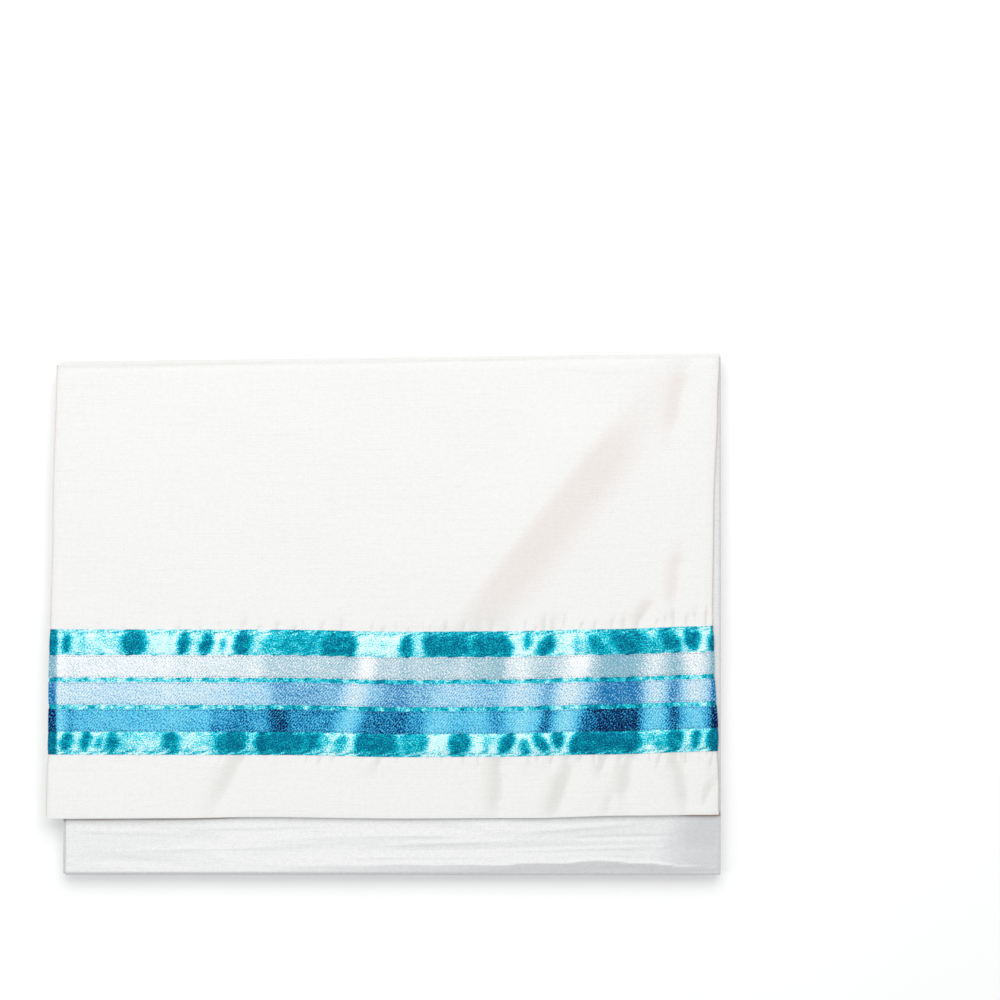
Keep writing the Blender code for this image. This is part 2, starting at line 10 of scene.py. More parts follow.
import bpy
import numpy as np
from bpy.props import FloatProperty, FloatVectorProperty, PointerProperty
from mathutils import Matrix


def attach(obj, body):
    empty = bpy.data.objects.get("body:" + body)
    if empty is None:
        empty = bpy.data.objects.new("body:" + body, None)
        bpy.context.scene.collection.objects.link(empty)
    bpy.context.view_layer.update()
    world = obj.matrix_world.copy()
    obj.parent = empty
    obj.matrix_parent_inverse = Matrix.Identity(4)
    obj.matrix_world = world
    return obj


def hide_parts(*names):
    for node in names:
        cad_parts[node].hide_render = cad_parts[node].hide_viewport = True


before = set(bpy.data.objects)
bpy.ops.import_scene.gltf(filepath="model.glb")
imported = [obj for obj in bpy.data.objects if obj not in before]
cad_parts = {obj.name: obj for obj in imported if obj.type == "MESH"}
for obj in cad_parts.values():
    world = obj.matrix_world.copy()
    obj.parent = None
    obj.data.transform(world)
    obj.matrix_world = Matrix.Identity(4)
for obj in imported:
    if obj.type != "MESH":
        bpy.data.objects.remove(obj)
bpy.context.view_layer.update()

bl_info = {
    "name": "Folded Prayer Shawl",
    "version": (1, 0, 0),
    "blender": (4, 5, 0),
    "location": "3D View > Sidebar > Shawl",
    "description": "Models the folded shawl's cloth, ribbons and stitching",
    "category": "Add Mesh",
}

MM = 0.001

# The folded bundle, seen from above
BUNDLE_LEFT = -0.1916
BUNDLE_RIGHT = 0.2025
BUNDLE_FRONT = -0.1569
BACK_AT_LEFT = 0.1520
BACK_AT_RIGHT = 0.1569

# Each panel's middle height above the surface, from the uppermost down, and its folds' middle radii
PANEL_LEVELS = [level * MM for level in (14.8, 12.0, 9.3, 6.5, 3.8, 1.15)]
PANEL_HALF = 1.2 * MM
TURN_STEPS = 12
STUB_LENGTH = 16.0 * MM
UP = math.pi / 2
# The rows' shares of the way from the band to the back fold, and the columns' of the way between the folds
BACK_SHARES = ((0.0, 0.115, 11), (0.12, 0.94, 41), (0.945, 1.0, 13))
RIM_SHARES = ((0.0, 0.010, 7), (0.0125, 0.9875, 270), (0.990, 1.0, 7))
# The cloth's length from the hem to the band, and from the band to the back fold
FRONT_LENGTH = 0.0385
BACK_LENGTH = 0.160
# Where the second panel comes out of the upper one's cover, its rows near the hem, and its hidden length
HIDDEN_END = -0.112
NEAR_HEM = (-0.1190, -0.1260, 21)
HIDDEN_LENGTH = 0.263
# The cloth's length along the first hidden panel, past the second one's return, and along each other one
RETURN_LENGTH = 0.285
PANEL_LENGTH = 0.300
# How far the hidden panels are drawn in on the left, right, front and back, in millimetres
HIDDEN_INSETS = {
    2: (1.0, 1.1, STUB_LENGTH / MM, 0.6),
    3: (1.8, 0.4, 0.7, 0.6),
    4: (0.6, 0.8, 0.7, 1.3),
    5: (1.4, 1.6, 1.5, 1.3),
}
LOWEST = 5

# Places along the shawl's left and right edges
TOP_LEFT_EDGE = ((-0.1220, -0.2025), (-0.0500, -0.2010), (0.0570, -0.1985), (0.1520, -0.1962))
TOP_RIGHT_EDGE = (
    (-0.12, 0.2013), (-0.074, 0.2009), (-0.03, 0.1985), (-0.002, 0.1975), (0.06, 0.1982), (0.128, 0.2006),
    (0.1569, 0.2019),
)
SECOND_LEFT_EDGE = ((BUNDLE_FRONT, -0.1928), (BACK_AT_LEFT, -0.1900))

# Lines that run across the shawl and drift a little out of straight
HEM_LINE = (
    (-0.2025, -0.1223), (-0.12, -0.1219), (-0.075, -0.1213), (0.01, -0.1222), (0.085, -0.122),
    (0.145, -0.1205), (0.2013, -0.12),
)
BAND_DRIFT = (
    (-0.2025, 0), (-0.06, -0.0002), (0.01, -0.0015), (0.07, -0.0012), (0.13, 0.0001), (0.2013, 0.002),
)
BAND_WIDTH = 75.0 * MM
BAND_MIDDLE = -46.4 * MM
RIBBON_WIDTH = 13.5 * MM
RIBBON_SPACE = 2.7 * MM
FIRST_RIBBON_INSET = 15.3 * MM
TOPSTITCH_INSET = 1.8 * MM
STITCH_INSET = 0.8 * MM
# A row of stitches: what it leaves free at the ends, its shares across, its unevenness and a step along it
STITCH_MARGINS = 6.0 * MM
STITCHED = (0.004, 0.996)
STITCH_SWAY = 0.0006
STITCH_STEP = 0.6 * MM
BAND_PINCH = 0.6 * MM
PINCH_FADE = 5.0 * MM
GATHER_FADE = 14.0 * MM

# How the faces roll off at their edges
SIDE_ROLL_WIDTH = 5.5 * MM
SIDE_ROLL_DROP = 1.0 * MM
BACK_ROLL_WIDTH = 8.0 * MM
BACK_ROLL_DROP = 0.8 * MM
HEM_LIFT = 0.9 * MM
HEM_LIFT_WIDTH = 45.0 * MM
FRONT_ROLL_WIDTHS = (
    (-0.2025, 4.6 * MM),
    (0.0000, 5.8 * MM),
    (0.0510, 5.6 * MM),
    (0.1380, 7.6 * MM),
    (0.1830, 4.6 * MM),
    (0.2040, 3.6 * MM),
)
FRONT_ROLL_DROP = 1.35 * MM
FRONT_ROLL_START = -0.100
FRONT_ROLL_FULL = 0.170

# Soft folds, from one end to the other. A negative height is a trough. The two widths are those on the
# left and on the right of the way from the first end to the second.
Fold = namedtuple("Fold", "x1 y1 x2 y2 left_width right_width height")


def folds_of(*rows):
    """Folds whose places, widths and heights are given in millimetres."""
    return [Fold(*(value * MM for value in row)) for row in rows]


TOP_FOLDS = folds_of(
    (148, 134, 34, -11, 18, 31, 2.15), (182, 146, 175, 102, 7, 7, -0.75), (179, 38, 176, 0, 4, 6, -0.6),
    (162, 8, 154, -8, 4, 5, -0.4), (-79, -78, -100, -120, 4, 7, -0.5), (73, -74, 71, -130, 5, 7, -0.75),
    (119, -78, 102, -130, 5, 7, -0.8), (134, -80, 131, -98, 2.5, 3.5, -0.45),
    (151, -76, 147, -118, 4, 7, -0.7), (178, -74, 186, -126, 5, 6, -0.75),
    (199, -100, 190, -122, 2.5, 4, -0.35), (137, -108, 134, -124, 2.5, 3.5, -0.2),
)
SECOND_FOLDS = folds_of(
    (-100, -137, 90, -131, 4, 4, 0.1), (-10, -143, 160, -140, 3, 3, -0.09), (30, -128, 70, -134, 3, 3, -0.11),
    (-120, -133, -90, -140, 4, 4, -0.1), (-180, -146, -120, -150, 3, 3, -0.08),
    (-112, -128.5, -30, -127, 1.3, 1.3, 0.06), (-60, -133.5, 60, -132, 1.2, 1.2, 0.06),
    (0, -138.5, 78, -136, 1.1, 1.1, 0.06), (85, -130.5, 150, -126, 1.5, 1.5, 0.07),
    (-150, -141.5, -50, -139.5, 1.2, 1.2, 0.05), (60, -142.5, 170, -139.5, 1.2, 1.2, 0.06),
    (-185, -130, -125, -131.5, 1.4, 1.4, 0.05), (-20, -146, 70, -145, 1, 1, 0.05),
    (110, -134.5, 175, -133, 1.2, 1.2, -0.06),
)
CORNER_DROOP = 2.4 * MM
DROOP_REACH = 60.0 * MM
ROLL_RIDGE = 0.12 * MM
SHOWN_FROM = -0.118
DROOP_STARTS = ((-0.158, 0.163), (-0.142, 0.164), (-0.118, 0.172))
# The least lean along the second panel, which limits how deep its painted shade goes
ROLL_LEANS = ((-0.2025, 0.30), (-0.0200, 0.30), (0.1250, 0.12), (0.2040, 0.12))

# Gathers, which tilt the cloth and also paint its shade and highlight: the middle of each crest that leans to
# the light, half its width, how far it leans, and how far it slants, as metres across for each metre towards the
# back
Crest = namedtuple("Crest", "x half lean slant", defaults=(0.0,))


def crests_of(*rows):
    """Crests whose place and half width are given in millimetres."""
    return [Crest(x * MM, half * MM, *rest) for x, half, *rest in rows]


BACK_STRIP_CRESTS = crests_of(
    (-193.8, 1.3, 0.85, 0.05), (-181, 6, 0.68, 0.05), (-169.5, 5.6, 0.66, -0.1), (-160.6, 3.4, 0.62),
    (-132.5, 9, 0.85, 0.05), (-113.2, 3, 0.7, 0.1), (-100, 1.8, 0.78, 0.15), (-92.4, 2.1, 0.75, 0.1),
    (-95.8, 6, 0.22), (-75.4, 3, 0.66, 0.1), (-66.5, 5, 0.32), (-52, 8, 0.2), (-39.5, 2.6, 0.3, 0.1),
    (-8, 7.6, 0.84), (5, 4.6, 0.84, 0.1), (20.6, 3.2, 0.62, -0.1), (52.6, 2.6, 0.18, 0.1),
    (80.6, 3.3, 0.85, -0.15), (90.8, 2.2, 0.7, 0.3), (86, 4, 0.2), (108.2, 5.2, 0.8, 0.1), (116, 3.6, 0.4),
    (121.4, 2.4, 0.55, -0.1), (134, 3.4, 0.34, -0.3), (158.5, 3.2, 0.3), (165, 2.4, 0.34, -0.35),
    (179.3, 1, 0.8, -0.2), (192.2, 2, 0.95, 0.1),
)
FRONT_STRIP_CRESTS = crests_of(
    (-195.2, 1.2, 0.95, 0.1), (-184.2, 2, 0.8, 0.1), (-173.7, 1.8, 0.76, 0.2), (-167.6, 1.2, 0.62, 0.1),
    (-152.4, 6.4, 0.55), (-139, 6.5, 0.64), (-114.4, 8, 0.66), (-103.6, 3, 0.42, 0.1), (-79.6, 2.6, 0.58, 0.1),
    (-47, 1.8, 0.22, 0.1), (-37, 2.8, 0.36, 0.1), (-31.2, 2.6, 0.62, 0.2), (-25.4, 2.4, 0.32, 0.1),
    (-19.8, 2.2, 0.7, 0.1), (15.4, 8, 0.26), (32.4, 6, 0.88, 0.1), (55.4, 3.2, 0.8, 0.1), (67.2, 2, 0.62, 0.2),
    (61.6, 4.2, 0.44), (80.1, 1.5, 0.84, 0.3), (88.6, 1.6, 0.85, -0.3), (99.6, 1.3, 0.8, -0.3),
    (109.6, 1.5, 0.8, 0.2), (84.4, 3, 0.12), (157.5, 2.6, 0.58), (162.6, 1.4, 0.5, 0.2), (167.6, 2.6, 0.36),
    (182.2, 2, 0.78, 0.1), (192, 1.3, 0.84, 0.1), (-64, 26, -0.06), (133, 18, -0.12),
)
RIBBON_CRESTS = crests_of(
    (-193.5, 2, 0.15), (-165, 36, 0.78), (-100, 30, 0.64), (-86, 9, -0.14), (-48, 22, 0.32, 0.1),
    (-17, 6, 0.72, 0.28), (6, 6, 0.1, 0.3), (45, 32, 0.42, 0.1), (66, 6, -0.1, 0.3), (82.5, 6.4, 0.5, 0.1),
    (98, 5, 0.16), (111.8, 7.8, 0.92, 0.17), (142, 10, -0.1), (161.6, 7, 0.62), (187, 8, 0.8),
)
# What each narrow ribbon adds to them, only as painted shade and highlight
OWN_CRESTS = {
    "silver": crests_of(
        (-113, 16, 0.06), (-85, 12, 0.17), (-48.5, 19.5, 0.12), (-23, 6, 0.15), (-1, 11.5, 0.42),
        (16, 5, 0.06), (49, 5, 0.08), (62, 10.5, -0.15), (90, 17, 0.23), (113, 5, -0.06), (124, 6, 0.33),
        (146, 5, -0.05), (168, 5, 0.12),
    ),
    "sky": crests_of(
        (-158, 11, -0.08), (-115, 15, 0.14), (-90, 9, 0.12), (-51.5, 16.5, -0.11), (-19, 6, 0.2, 0.2),
        (-6.5, 6.5, 0.3, 0.2), (5.5, 5, 0.06), (18.5, 9.5, -0.14), (43, 9, 0.1), (80, 5.5, 0.24, 0.1),
        (91, 5.5, 0.32, 0.1), (124, 5.5, 0.17), (153, 5, -0.1), (165, 5.5, 0.14),
    ),
    "royal": crests_of(
        (-194, 2.5, 0.2), (-188, 3, -0.25), (-165, 35, -0.33), (-115, 15, -0.18), (-83.5, 18, -0.33, 0.1),
        (-60.5, 6, -0.35, 0.1), (-43, 12, -0.13), (-27, 5, -0.15), (-15.5, 5.5, 0.08, 0.2), (-5, 5, 0.08, 0.2),
        (17, 6.5, -0.22), (37.5, 6.5, 0.18, 0.2), (57, 6.5, 0.14), (70, 5, -0.14, 0.1), (81, 5, 0.04, 0.2),
        (91, 6.5, 0.45, 0.2), (103, 5, -0.28, 0.1), (114, 5.5, -0.1), (141, 12, -0.12), (157, 5, -0.08),
        (168, 5, 0.06), (178.5, 5, -0.1), (189.5, 7, -0.24),
    ),
}
# Softness of the ribbons' own crests and of the satin's, how strongly a slope paints shade and highlight, and the
# widths of the painted shade at the rims and along the back fold
OWN_SOFTNESS = 4.0 * MM
SATIN_SOFTNESS = 2.9 * MM
LEAN_STRENGTH = 3.6
RIM_WIDTH = 2.6 * MM
BACK_RIM_DEPTHS = (4.8 * MM, 3.0 * MM)
DEEPEST = 1.3 * MM
CALM_RIM = 25.0 * MM
# Painted shade at the rims, at the very edge and along the back fold, the least lean of a fold and of the second
# panel, and the darkest painted shadow under the hem
RIM_SHADE = 0.45
EDGE_SHADE = 0.65
BACK_SHADES = (0.62, 0.42)
LEAST_LEAN = 0.14
LEAST_SECOND_LEAN = 0.13
DARKEST = 0.97
# Softness of the band's gathers, and how far a crest's painted highlight widens near a seam
RIBBON_SOFTNESS = 7.0 * MM
SEAM_BULGE = 2.8 * MM
# Where the painted shade at the band's ends is full and where it is gone, the width of the painted shadow under the
# hem, and the painted shading of a gather with no crest
LEFT_END_SHADE = (3.0 * MM, 5.8 * MM)
RIGHT_END_SHADE = (0.8 * MM, 3.2 * MM)
HEM_SHADOW_WIDTH = 0.75 * MM
SHADE = 0.07

# Places along the folded thirds: 1 is the right fold and 0 the left one
Columns = namedtuple("Columns", "share swing level out_x out_up across")
# A line of points across the shawl. line, middle, edges, upper, lower and out are functions, and so is its lean
# to the light, which paints shade and highlight into the colour.
Row = namedtuple("Row", "line middle angle edges upper lower out nap along")


def smooth(share):
    """A share from 0 to 1, eased at both ends and held there outside them."""
    share = np.clip(share, 0.0, 1.0)
    return share * share * (3 - 2 * share)


def mix(a, b, share):
    return a + (b - a) * share


def eased(table, at):
    """The second column of a two-column table at places in its first, eased from row to row."""
    places, values = np.array(table).T
    low = np.clip(np.searchsorted(places, at) - 1, 0, len(places) - 2)
    share = smooth((at - places[low]) / (places[low + 1] - places[low]))
    return mix(values[low], values[low + 1], share)


def straight(table, at):
    (start, low), (end, high) = table
    return mix(low, high, (at - start) / (end - start))


def fold_height(folds, x, y):
    """What soft folds add at points: rounded ridges and troughs that fade at their ends."""
    total = np.zeros_like(x + y)
    for fold in folds:
        dx, dy = fold.x2 - fold.x1, fold.y2 - fold.y1
        length = math.hypot(dx, dy)
        along = np.clip(((x - fold.x1) * dx + (y - fold.y1) * dy) / length**2, 0.0, 1.0)
        away = np.hypot(x - fold.x1 - along * dx, y - fold.y1 - along * dy)
        side = (x - fold.x1) * -dy + (y - fold.y1) * dx
        leftness = 0.5 + 0.5 * side / (length * np.maximum(away, 1e-6))
        width = mix(fold.right_width, fold.left_width, leftness)
        ends = smooth(along / 0.25) * smooth((1 - along) / 0.35)
        total = total + fold.height * np.exp(-((away / width) ** 2)) * mix(0.3, 1.0, ends)
    return total


def lean(crests, x, inset=BAND_WIDTH / 2, softness=SATIN_SOFTNESS, bulge=0.0):
    """How far gathered cloth leans to the light: from 0, away from it, to 1, towards it.

    inset is the line's distance from the band's front edge, and bulge widens each crest there.
    """
    return np.clip(SHADE + leaning(crests, x, inset, softness, bulge), 0.0, 1.0)


def leaning(crests, x, inset, softness, bulge=0.0):
    """What crests add to the lean."""
    total = np.zeros_like(x)
    for crest in crests:
        middle = crest.x + crest.slant * (inset - BAND_WIDTH / 2)
        outside = np.abs(x - middle) - crest.half - bulge
        total = total + crest.lean * smooth(0.5 - outside / (2 * softness))
    return total


def heave(crests, softness, reach, steepness):
    """Places across the shawl and the height there that makes each crest lean as it should."""
    x = np.linspace(BUNDLE_LEFT - 0.02, BUNDLE_RIGHT + 0.02, 1740)
    step = x[1] - x[0]
    window = np.ones(int(reach / step))
    window /= len(window)

    def level(values):
        padded = np.pad(values, len(window), mode="edge")
        return values - np.convolve(padded, window, mode="same")[len(window) : -len(window)]

    slopes = level(lean(crests, x, softness=softness)) * steepness
    return x, level(np.cumsum(slopes) * step)


BAND_HEAVE = heave(RIBBON_CRESTS, RIBBON_SOFTNESS, 40.0 * MM, 0.10)
BACK_STRIP_HEAVE = heave(BACK_STRIP_CRESTS, SATIN_SOFTNESS, 22.0 * MM, 0.28)
FRONT_STRIP_HEAVE = heave(FRONT_STRIP_CRESTS, SATIN_SOFTNESS, 18.0 * MM, 0.28)


def pucker_folds():
    """Short folds that the band's seams pull into the cloth beside it, more of them to the right."""
    chance = np.random.default_rng(11)
    folds = []
    for inset, outwards in ((0.0, -1.0), (BAND_WIDTH, 1.0)):
        x = BUNDLE_LEFT + 6 * MM
        while x < BUNDLE_RIGHT - 4 * MM:
            share = (x - BUNDLE_LEFT) / (BUNDLE_RIGHT - BUNDLE_LEFT)
            length = mix(4, 8, share) * chance.uniform(0.5, 1.5) * MM
            width = chance.uniform(0.9, 2.2) * MM
            depth = -mix(0.10, 0.30, share) * chance.uniform(0.4, 1.3) * MM
            start = float(band_line(x, inset)) - outwards * 1 * MM
            end = start + outwards * length
            folds.append(Fold(x, start, x + chance.uniform(-0.35, 0.25) * length, end, width, width, depth))
            x += mix(11, 6, share) * chance.uniform(0.6, 1.5) * MM
    return folds


# The outline

def back_line(x):
    return straight(((BUNDLE_LEFT, BACK_AT_LEFT), (BUNDLE_RIGHT, BACK_AT_RIGHT)), x)


def hem_line(x):
    return eased(HEM_LINE, x)


def band_line(x, inset):
    """A line along the band, at a distance from the band's front edge."""
    return BAND_MIDDLE + eased(BAND_DRIFT, x) - BAND_WIDTH / 2 + inset


def along_band(inset):
    return lambda x: band_line(x, inset)


def in_band(x, y, fade):
    """1 under the band, falling to 0 at the fade's distance from it."""
    outside = np.abs(y - BAND_MIDDLE - eased(BAND_DRIFT, x)) - BAND_WIDTH / 2
    return 1.0 - smooth(outside / fade)


def top_edges(y):
    pinch = BAND_PINCH * in_band(np.zeros_like(y), y, PINCH_FADE)
    return eased(TOP_LEFT_EDGE, y) + pinch, eased(TOP_RIGHT_EDGE, y) - pinch


def second_edges(y):
    return straight(SECOND_LEFT_EDGE, y), BUNDLE_RIGHT + 0 * y


def drawn_in(left, right):
    """The second panel's edges, drawn in on each side."""
    def edges(y):
        plain = second_edges(y)
        return plain[0] + left, plain[1] - right

    return edges


# Heights

def constant(value):
    """A function of x, or of x and y, with one value everywhere."""
    return lambda x, y=0.0: value + 0.0 * x


nothing = constant(0.0)
# A lean to the light that paints neither shade nor highlight
level_painted_shading = constant(0.5)


PUCKER_FOLDS = pucker_folds()


def top_relief(x, y):
    """What the top panel's outer third adds to a plain fold."""
    left, right = top_edges(y)
    near = np.minimum(x - left, right - x)
    side_roll = -SIDE_ROLL_DROP * (1 - smooth(near / SIDE_ROLL_WIDTH))
    back_roll = -BACK_ROLL_DROP * (1 - smooth((back_line(x) - y) / BACK_ROLL_WIDTH))
    under_band = in_band(x, y, GATHER_FADE)
    gathers = np.interp(x, *BAND_HEAVE) * under_band
    beside = 1 - in_band(x, y, GATHER_FADE / 4)
    soft = undulation(x, y) * smooth(near / CALM_RIM) * (1 - under_band)
    folds = fold_height(TOP_FOLDS, x, y) * beside + fold_height(PUCKER_FOLDS, x, y)
    return no_deeper(side_roll + back_roll + gathers + folds + soft)


def no_deeper(height):
    """A height that can't go so deep that a third would sink into the one beneath."""
    return np.where(height < 0, -DEEPEST * np.tanh(-height / DEEPEST), height)


def undulation(x, y):
    """Long low waves that no cloth is without."""
    waves = ((0.110, 0.7, 0.3, 0.16), (0.074, -0.4, 1.9, 0.12), (0.052, 1.2, 4.0, 0.07), (0.160, 2.0, 2.2, 0.18))
    total = 0.0
    for length, turn, start, height in waves:
        along = x * math.cos(turn) + y * math.sin(turn)
        total = total + height * MM * np.sin(2 * math.pi * along / length + start)
    return total


def top_middle(x, y):
    along = smooth(1 - (x - BUNDLE_LEFT) / (BUNDLE_RIGHT - BUNDLE_LEFT))
    lift = HEM_LIFT * along * smooth(1 - (y - hem_line(x)) / HEM_LIFT_WIDTH)
    return PANEL_LEVELS[0] + lift


def second_drop(x, y):
    """How the second panel rolls off towards the front fold and droops at its right end."""
    along = smooth((x - FRONT_ROLL_START) / (FRONT_ROLL_FULL - FRONT_ROLL_START))
    near = (y - BUNDLE_FRONT) / (eased(FRONT_ROLL_WIDTHS, x) * (1 + 0.06 * np.sin(160 * x)))
    uneven = 1 + 0.20 * np.sin(95 * x) + 0.14 * np.sin(230 * x + 1)
    roll = -FRONT_ROLL_DROP * along * uneven * (1 - smooth(near * 0.9))
    droop = smooth((x - eased(DROOP_STARTS, y)) / DROOP_REACH)
    roll = roll + ROLL_RIDGE * along * (1 - droop) ** 2 * np.exp(-(((near - 1.15) / 0.15) ** 2))
    shown = smooth((SHOWN_FROM - y) / (4 * MM))
    return (roll - CORNER_DROOP * droop + fold_height(SECOND_FOLDS, x, y)) * shown


def second_relief(x, y):
    """What the second panel's face adds."""
    return no_deeper(second_drop(x, y))


def lean_of(relief, x, y):
    """How far a relief's slope leans to the light, which comes from the back left: 0.5 where it is flat. It paints
    shade and highlight into the colour.
    """
    step = 0.5 * MM
    rise_across = (relief(x + step, y) - relief(x - step, y)) / (2 * step)
    rise_along = (relief(x, y + step) - relief(x, y - step)) / (2 * step)
    return np.clip(0.5 + LEAN_STRENGTH * (rise_across - rise_along), 0.0, 1.0)


def rim_lean(x, y, edges):
    """What the rims leave of the lean, as painted shade: a dark line at the very edge, and less beside it."""
    left, right = edges(y)
    near = np.minimum(x - left, right - x)
    soft = 1 - RIM_SHADE * (1 - smooth((near - 0.3 * MM) / RIM_WIDTH))
    return soft * (1 - EDGE_SHADE * (1 - smooth((near - 0.5 * MM) / (0.5 * MM))))


# The top panel's painted shading: from the slope of its folds and gathers, less at the rims and along the back fold
def top_lean(x, y):
    def folds(x, y):
        gathers = np.interp(x, *BAND_HEAVE) * in_band(x, y, GATHER_FADE)
        return gathers + fold_height(TOP_FOLDS, x, y) + fold_height(PUCKER_FOLDS, x, y)

    # Painted shade along the back fold, uneven along it, with a thin darker line at the very edge
    share = (x - BUNDLE_LEFT) / (BUNDLE_RIGHT - BUNDLE_LEFT)
    depth = mix(*BACK_RIM_DEPTHS, np.clip(share, 0.0, 1.0))
    behind = back_line(x) - y
    back = mix(*BACK_SHADES, share) * (1 - smooth((behind - 0.55 * depth) / (0.6 * depth)))
    back = back * (1 + 0.25 * np.sin(behind / depth * 9 + 40 * x))
    back = back + 0.2 * (1 - smooth((behind - 0.6 * MM) / (0.8 * MM)))
    lean = np.clip(lean_of(folds, x, y), LEAST_LEAN, 1.0)
    return lean * rim_lean(x, y, top_edges) * (1 - back)


def second_lean(x, y):
    # The second panel's painted shading: darker towards its right end and a little at its left, darker at its rims,
    # and a painted shadow under the upper panel's hem, darker at the left and wider at the right end
    darker = 0.10 * smooth((x - 0.02) / 0.16) + 0.05 * smooth((-0.05 - x) / 0.10)
    plain = np.clip(lean_of(second_drop, x, y) - darker, eased(ROLL_LEANS, x), 1.0)
    at_left = smooth((-0.050 - x) / 0.080)
    wider = 1 + 0.7 * smooth((x - 0.165) / 0.030)
    past_hem = (hem_line(x) - y - (0.2 + 0.9 * at_left) * MM) / (HEM_SHADOW_WIDTH * wider)
    hem_shadow_darkness = 0.75 + 0.2 * np.sin(x * 41) + 0.12 * np.sin(x * 97) + 0.25 * at_left
    painted_hem_shadow = np.exp(-(past_hem**2)) * np.minimum(hem_shadow_darkness, DARKEST)
    return np.maximum(plain * rim_lean(x, y, second_edges), LEAST_SECOND_LEAN) * (1 - painted_hem_shadow)


# Cloth made of rows and columns of points

def columns_of(pitch, *stretches):
    """Columns of points round the folded thirds. Each stretch is its name, and its shares or its angles."""
    made = []
    for name, places in stretches:
        for at in places:
            across, up = math.sin(at), math.cos(at)
            made.append(
                {
                    "middle third": (at, 0.0, 0.0, 0.0, -1.0),
                    "left fold": (0.0, -pitch / 2 * across, (1 - up) / 2, -across, -up),
                    "outer third": (at, 0.0, 1.0, 0.0, 1.0),
                    "right fold": (1.0, pitch * across, up, across, up),
                    "under third": (at, 0.0, -1.0, 0.0, -1.0),
                }[name]
            )
    share, swing, level, out_x, out_up = np.array(made).T
    width = BUNDLE_RIGHT - BUNDLE_LEFT
    steps = np.hypot(np.diff(share * width + swing), np.diff(level * pitch))
    return Columns(share, swing, level, out_x, out_up, np.concatenate(([0.0], np.cumsum(steps))))


def fold_angles(count, start=0.0, end=math.pi):
    """Angles round a fold, without its two ends."""
    return np.linspace(start, end, count + 2)[1:-1]


def place(columns, row, pitch, thickness, out=0.0):
    """The points of one row of cloth, moved out from the folded cloth's own middle."""
    rough = mix(BUNDLE_LEFT, BUNDLE_RIGHT, columns.share)
    left, right = row.edges(row.line(rough))
    left = left + (pitch + thickness) / 2
    right = right - pitch - thickness / 2
    x = mix(left, right, columns.share) + columns.swing
    out = out + row.out(x)
    x = x + columns.out_x * out
    y = row.line(x)
    away = columns.level * pitch + columns.out_up * out
    away = away + row.upper(x, y) * (1 + columns.level) / 2 - row.lower(x, y) * (1 - columns.level) / 2
    return np.stack(
        (x, y + math.cos(row.angle) * away, row.middle(x, y) + math.sin(row.angle) * away), axis=-1
    )


def make_sheet(name, columns, rows, sizes, thickness, out=0.0):
    """A sheet of cloth through rows of points, with a UV map in metres and its lean to the light, kept on each point
    to paint its shade and highlight.
    """
    points = np.array([place(columns, row, sizes.third_pitch, sizes.cloth_thickness, out) for row in rows])
    painted_shadings = np.array([row.nap(line[:, 0], line[:, 1]) for row, line in zip(rows, points)])
    numbers = np.arange(painted_shadings.size).reshape(painted_shadings.shape)
    corners = (numbers[:-1, :-1], numbers[:-1, 1:], numbers[1:, 1:], numbers[1:, :-1])
    faces = np.stack(corners, axis=-1).reshape(-1, 4)
    mesh = bpy.data.meshes.new(name)
    mesh.from_pydata(points.reshape(-1, 3).tolist(), [], faces.tolist())
    # The lean to the light is kept on each point; the materials paint shade and highlight from it
    nap = mesh.attributes.new("nap", "FLOAT", "POINT")
    nap.data.foreach_set("value", painted_shadings.astype(np.float32).ravel())
    along = np.array([row.along for row in rows])
    flat = np.stack(np.broadcast_arrays(columns.across[None, :], along[:, None]), axis=-1).reshape(-1, 2)
    uv = mesh.uv_layers.new(name="cloth")
    uv.data.foreach_set("uv", flat[faces.ravel()].astype(np.float32).ravel())
    piece = link_new(name, mesh)
    thicken(piece, thickness)
    return piece


def link_new(name, data):
    made = bpy.data.objects.new(name, data)
    bpy.context.scene.collection.objects.link(made)
    return made


def thicken(piece, thickness):
    for other in bpy.context.selected_objects:
        other.select_set(False)
    piece.select_set(True)
    bpy.context.view_layer.objects.active = piece
    wall = piece.modifiers.new("thickness", "SOLIDIFY")
    wall.thickness = thickness
    wall.offset = 0.0
    bpy.ops.object.modifier_apply(modifier=wall.name)
    bpy.ops.object.shade_smooth_by_angle(angle=math.radians(50))


# The panels' rows

def flap_row(line, along, out=nothing, nap=level_painted_shading):
    return Row(line, top_middle, UP, top_edges, top_relief, nothing, out, nap, along)


def between(low, high, share):
    return lambda x: mix(low(x), high(x), share)


def shifted(line, distance):
    return lambda x: line(x) + distance


def hem_rows(line, thickness, width, row_of):
    """Rows of a hem turned under at a panel's open end, from its inner edge to the start of the face."""
    radius = thickness * 0.55
    rows = [
        row_of(shifted(line, radius + inset), -inset - math.pi * radius, constant(-2 * radius))
        for inset in np.linspace(width, 1.5 * MM, 4)
    ]
    for angle in np.linspace(math.pi, 0.0, 7):
        inwards = radius * (1 - math.sin(angle))
        under = radius * (1 - math.cos(angle))
        rows.append(row_of(shifted(line, inwards), -radius * angle, constant(-under)))
    return rows, radius


def turn_reach(panel):
    """How far the flat part of a panel ends before the line of the fold to the next one down."""
    return (PANEL_LEVELS[panel] - PANEL_LEVELS[panel + 1]) / 2 + PANEL_HALF


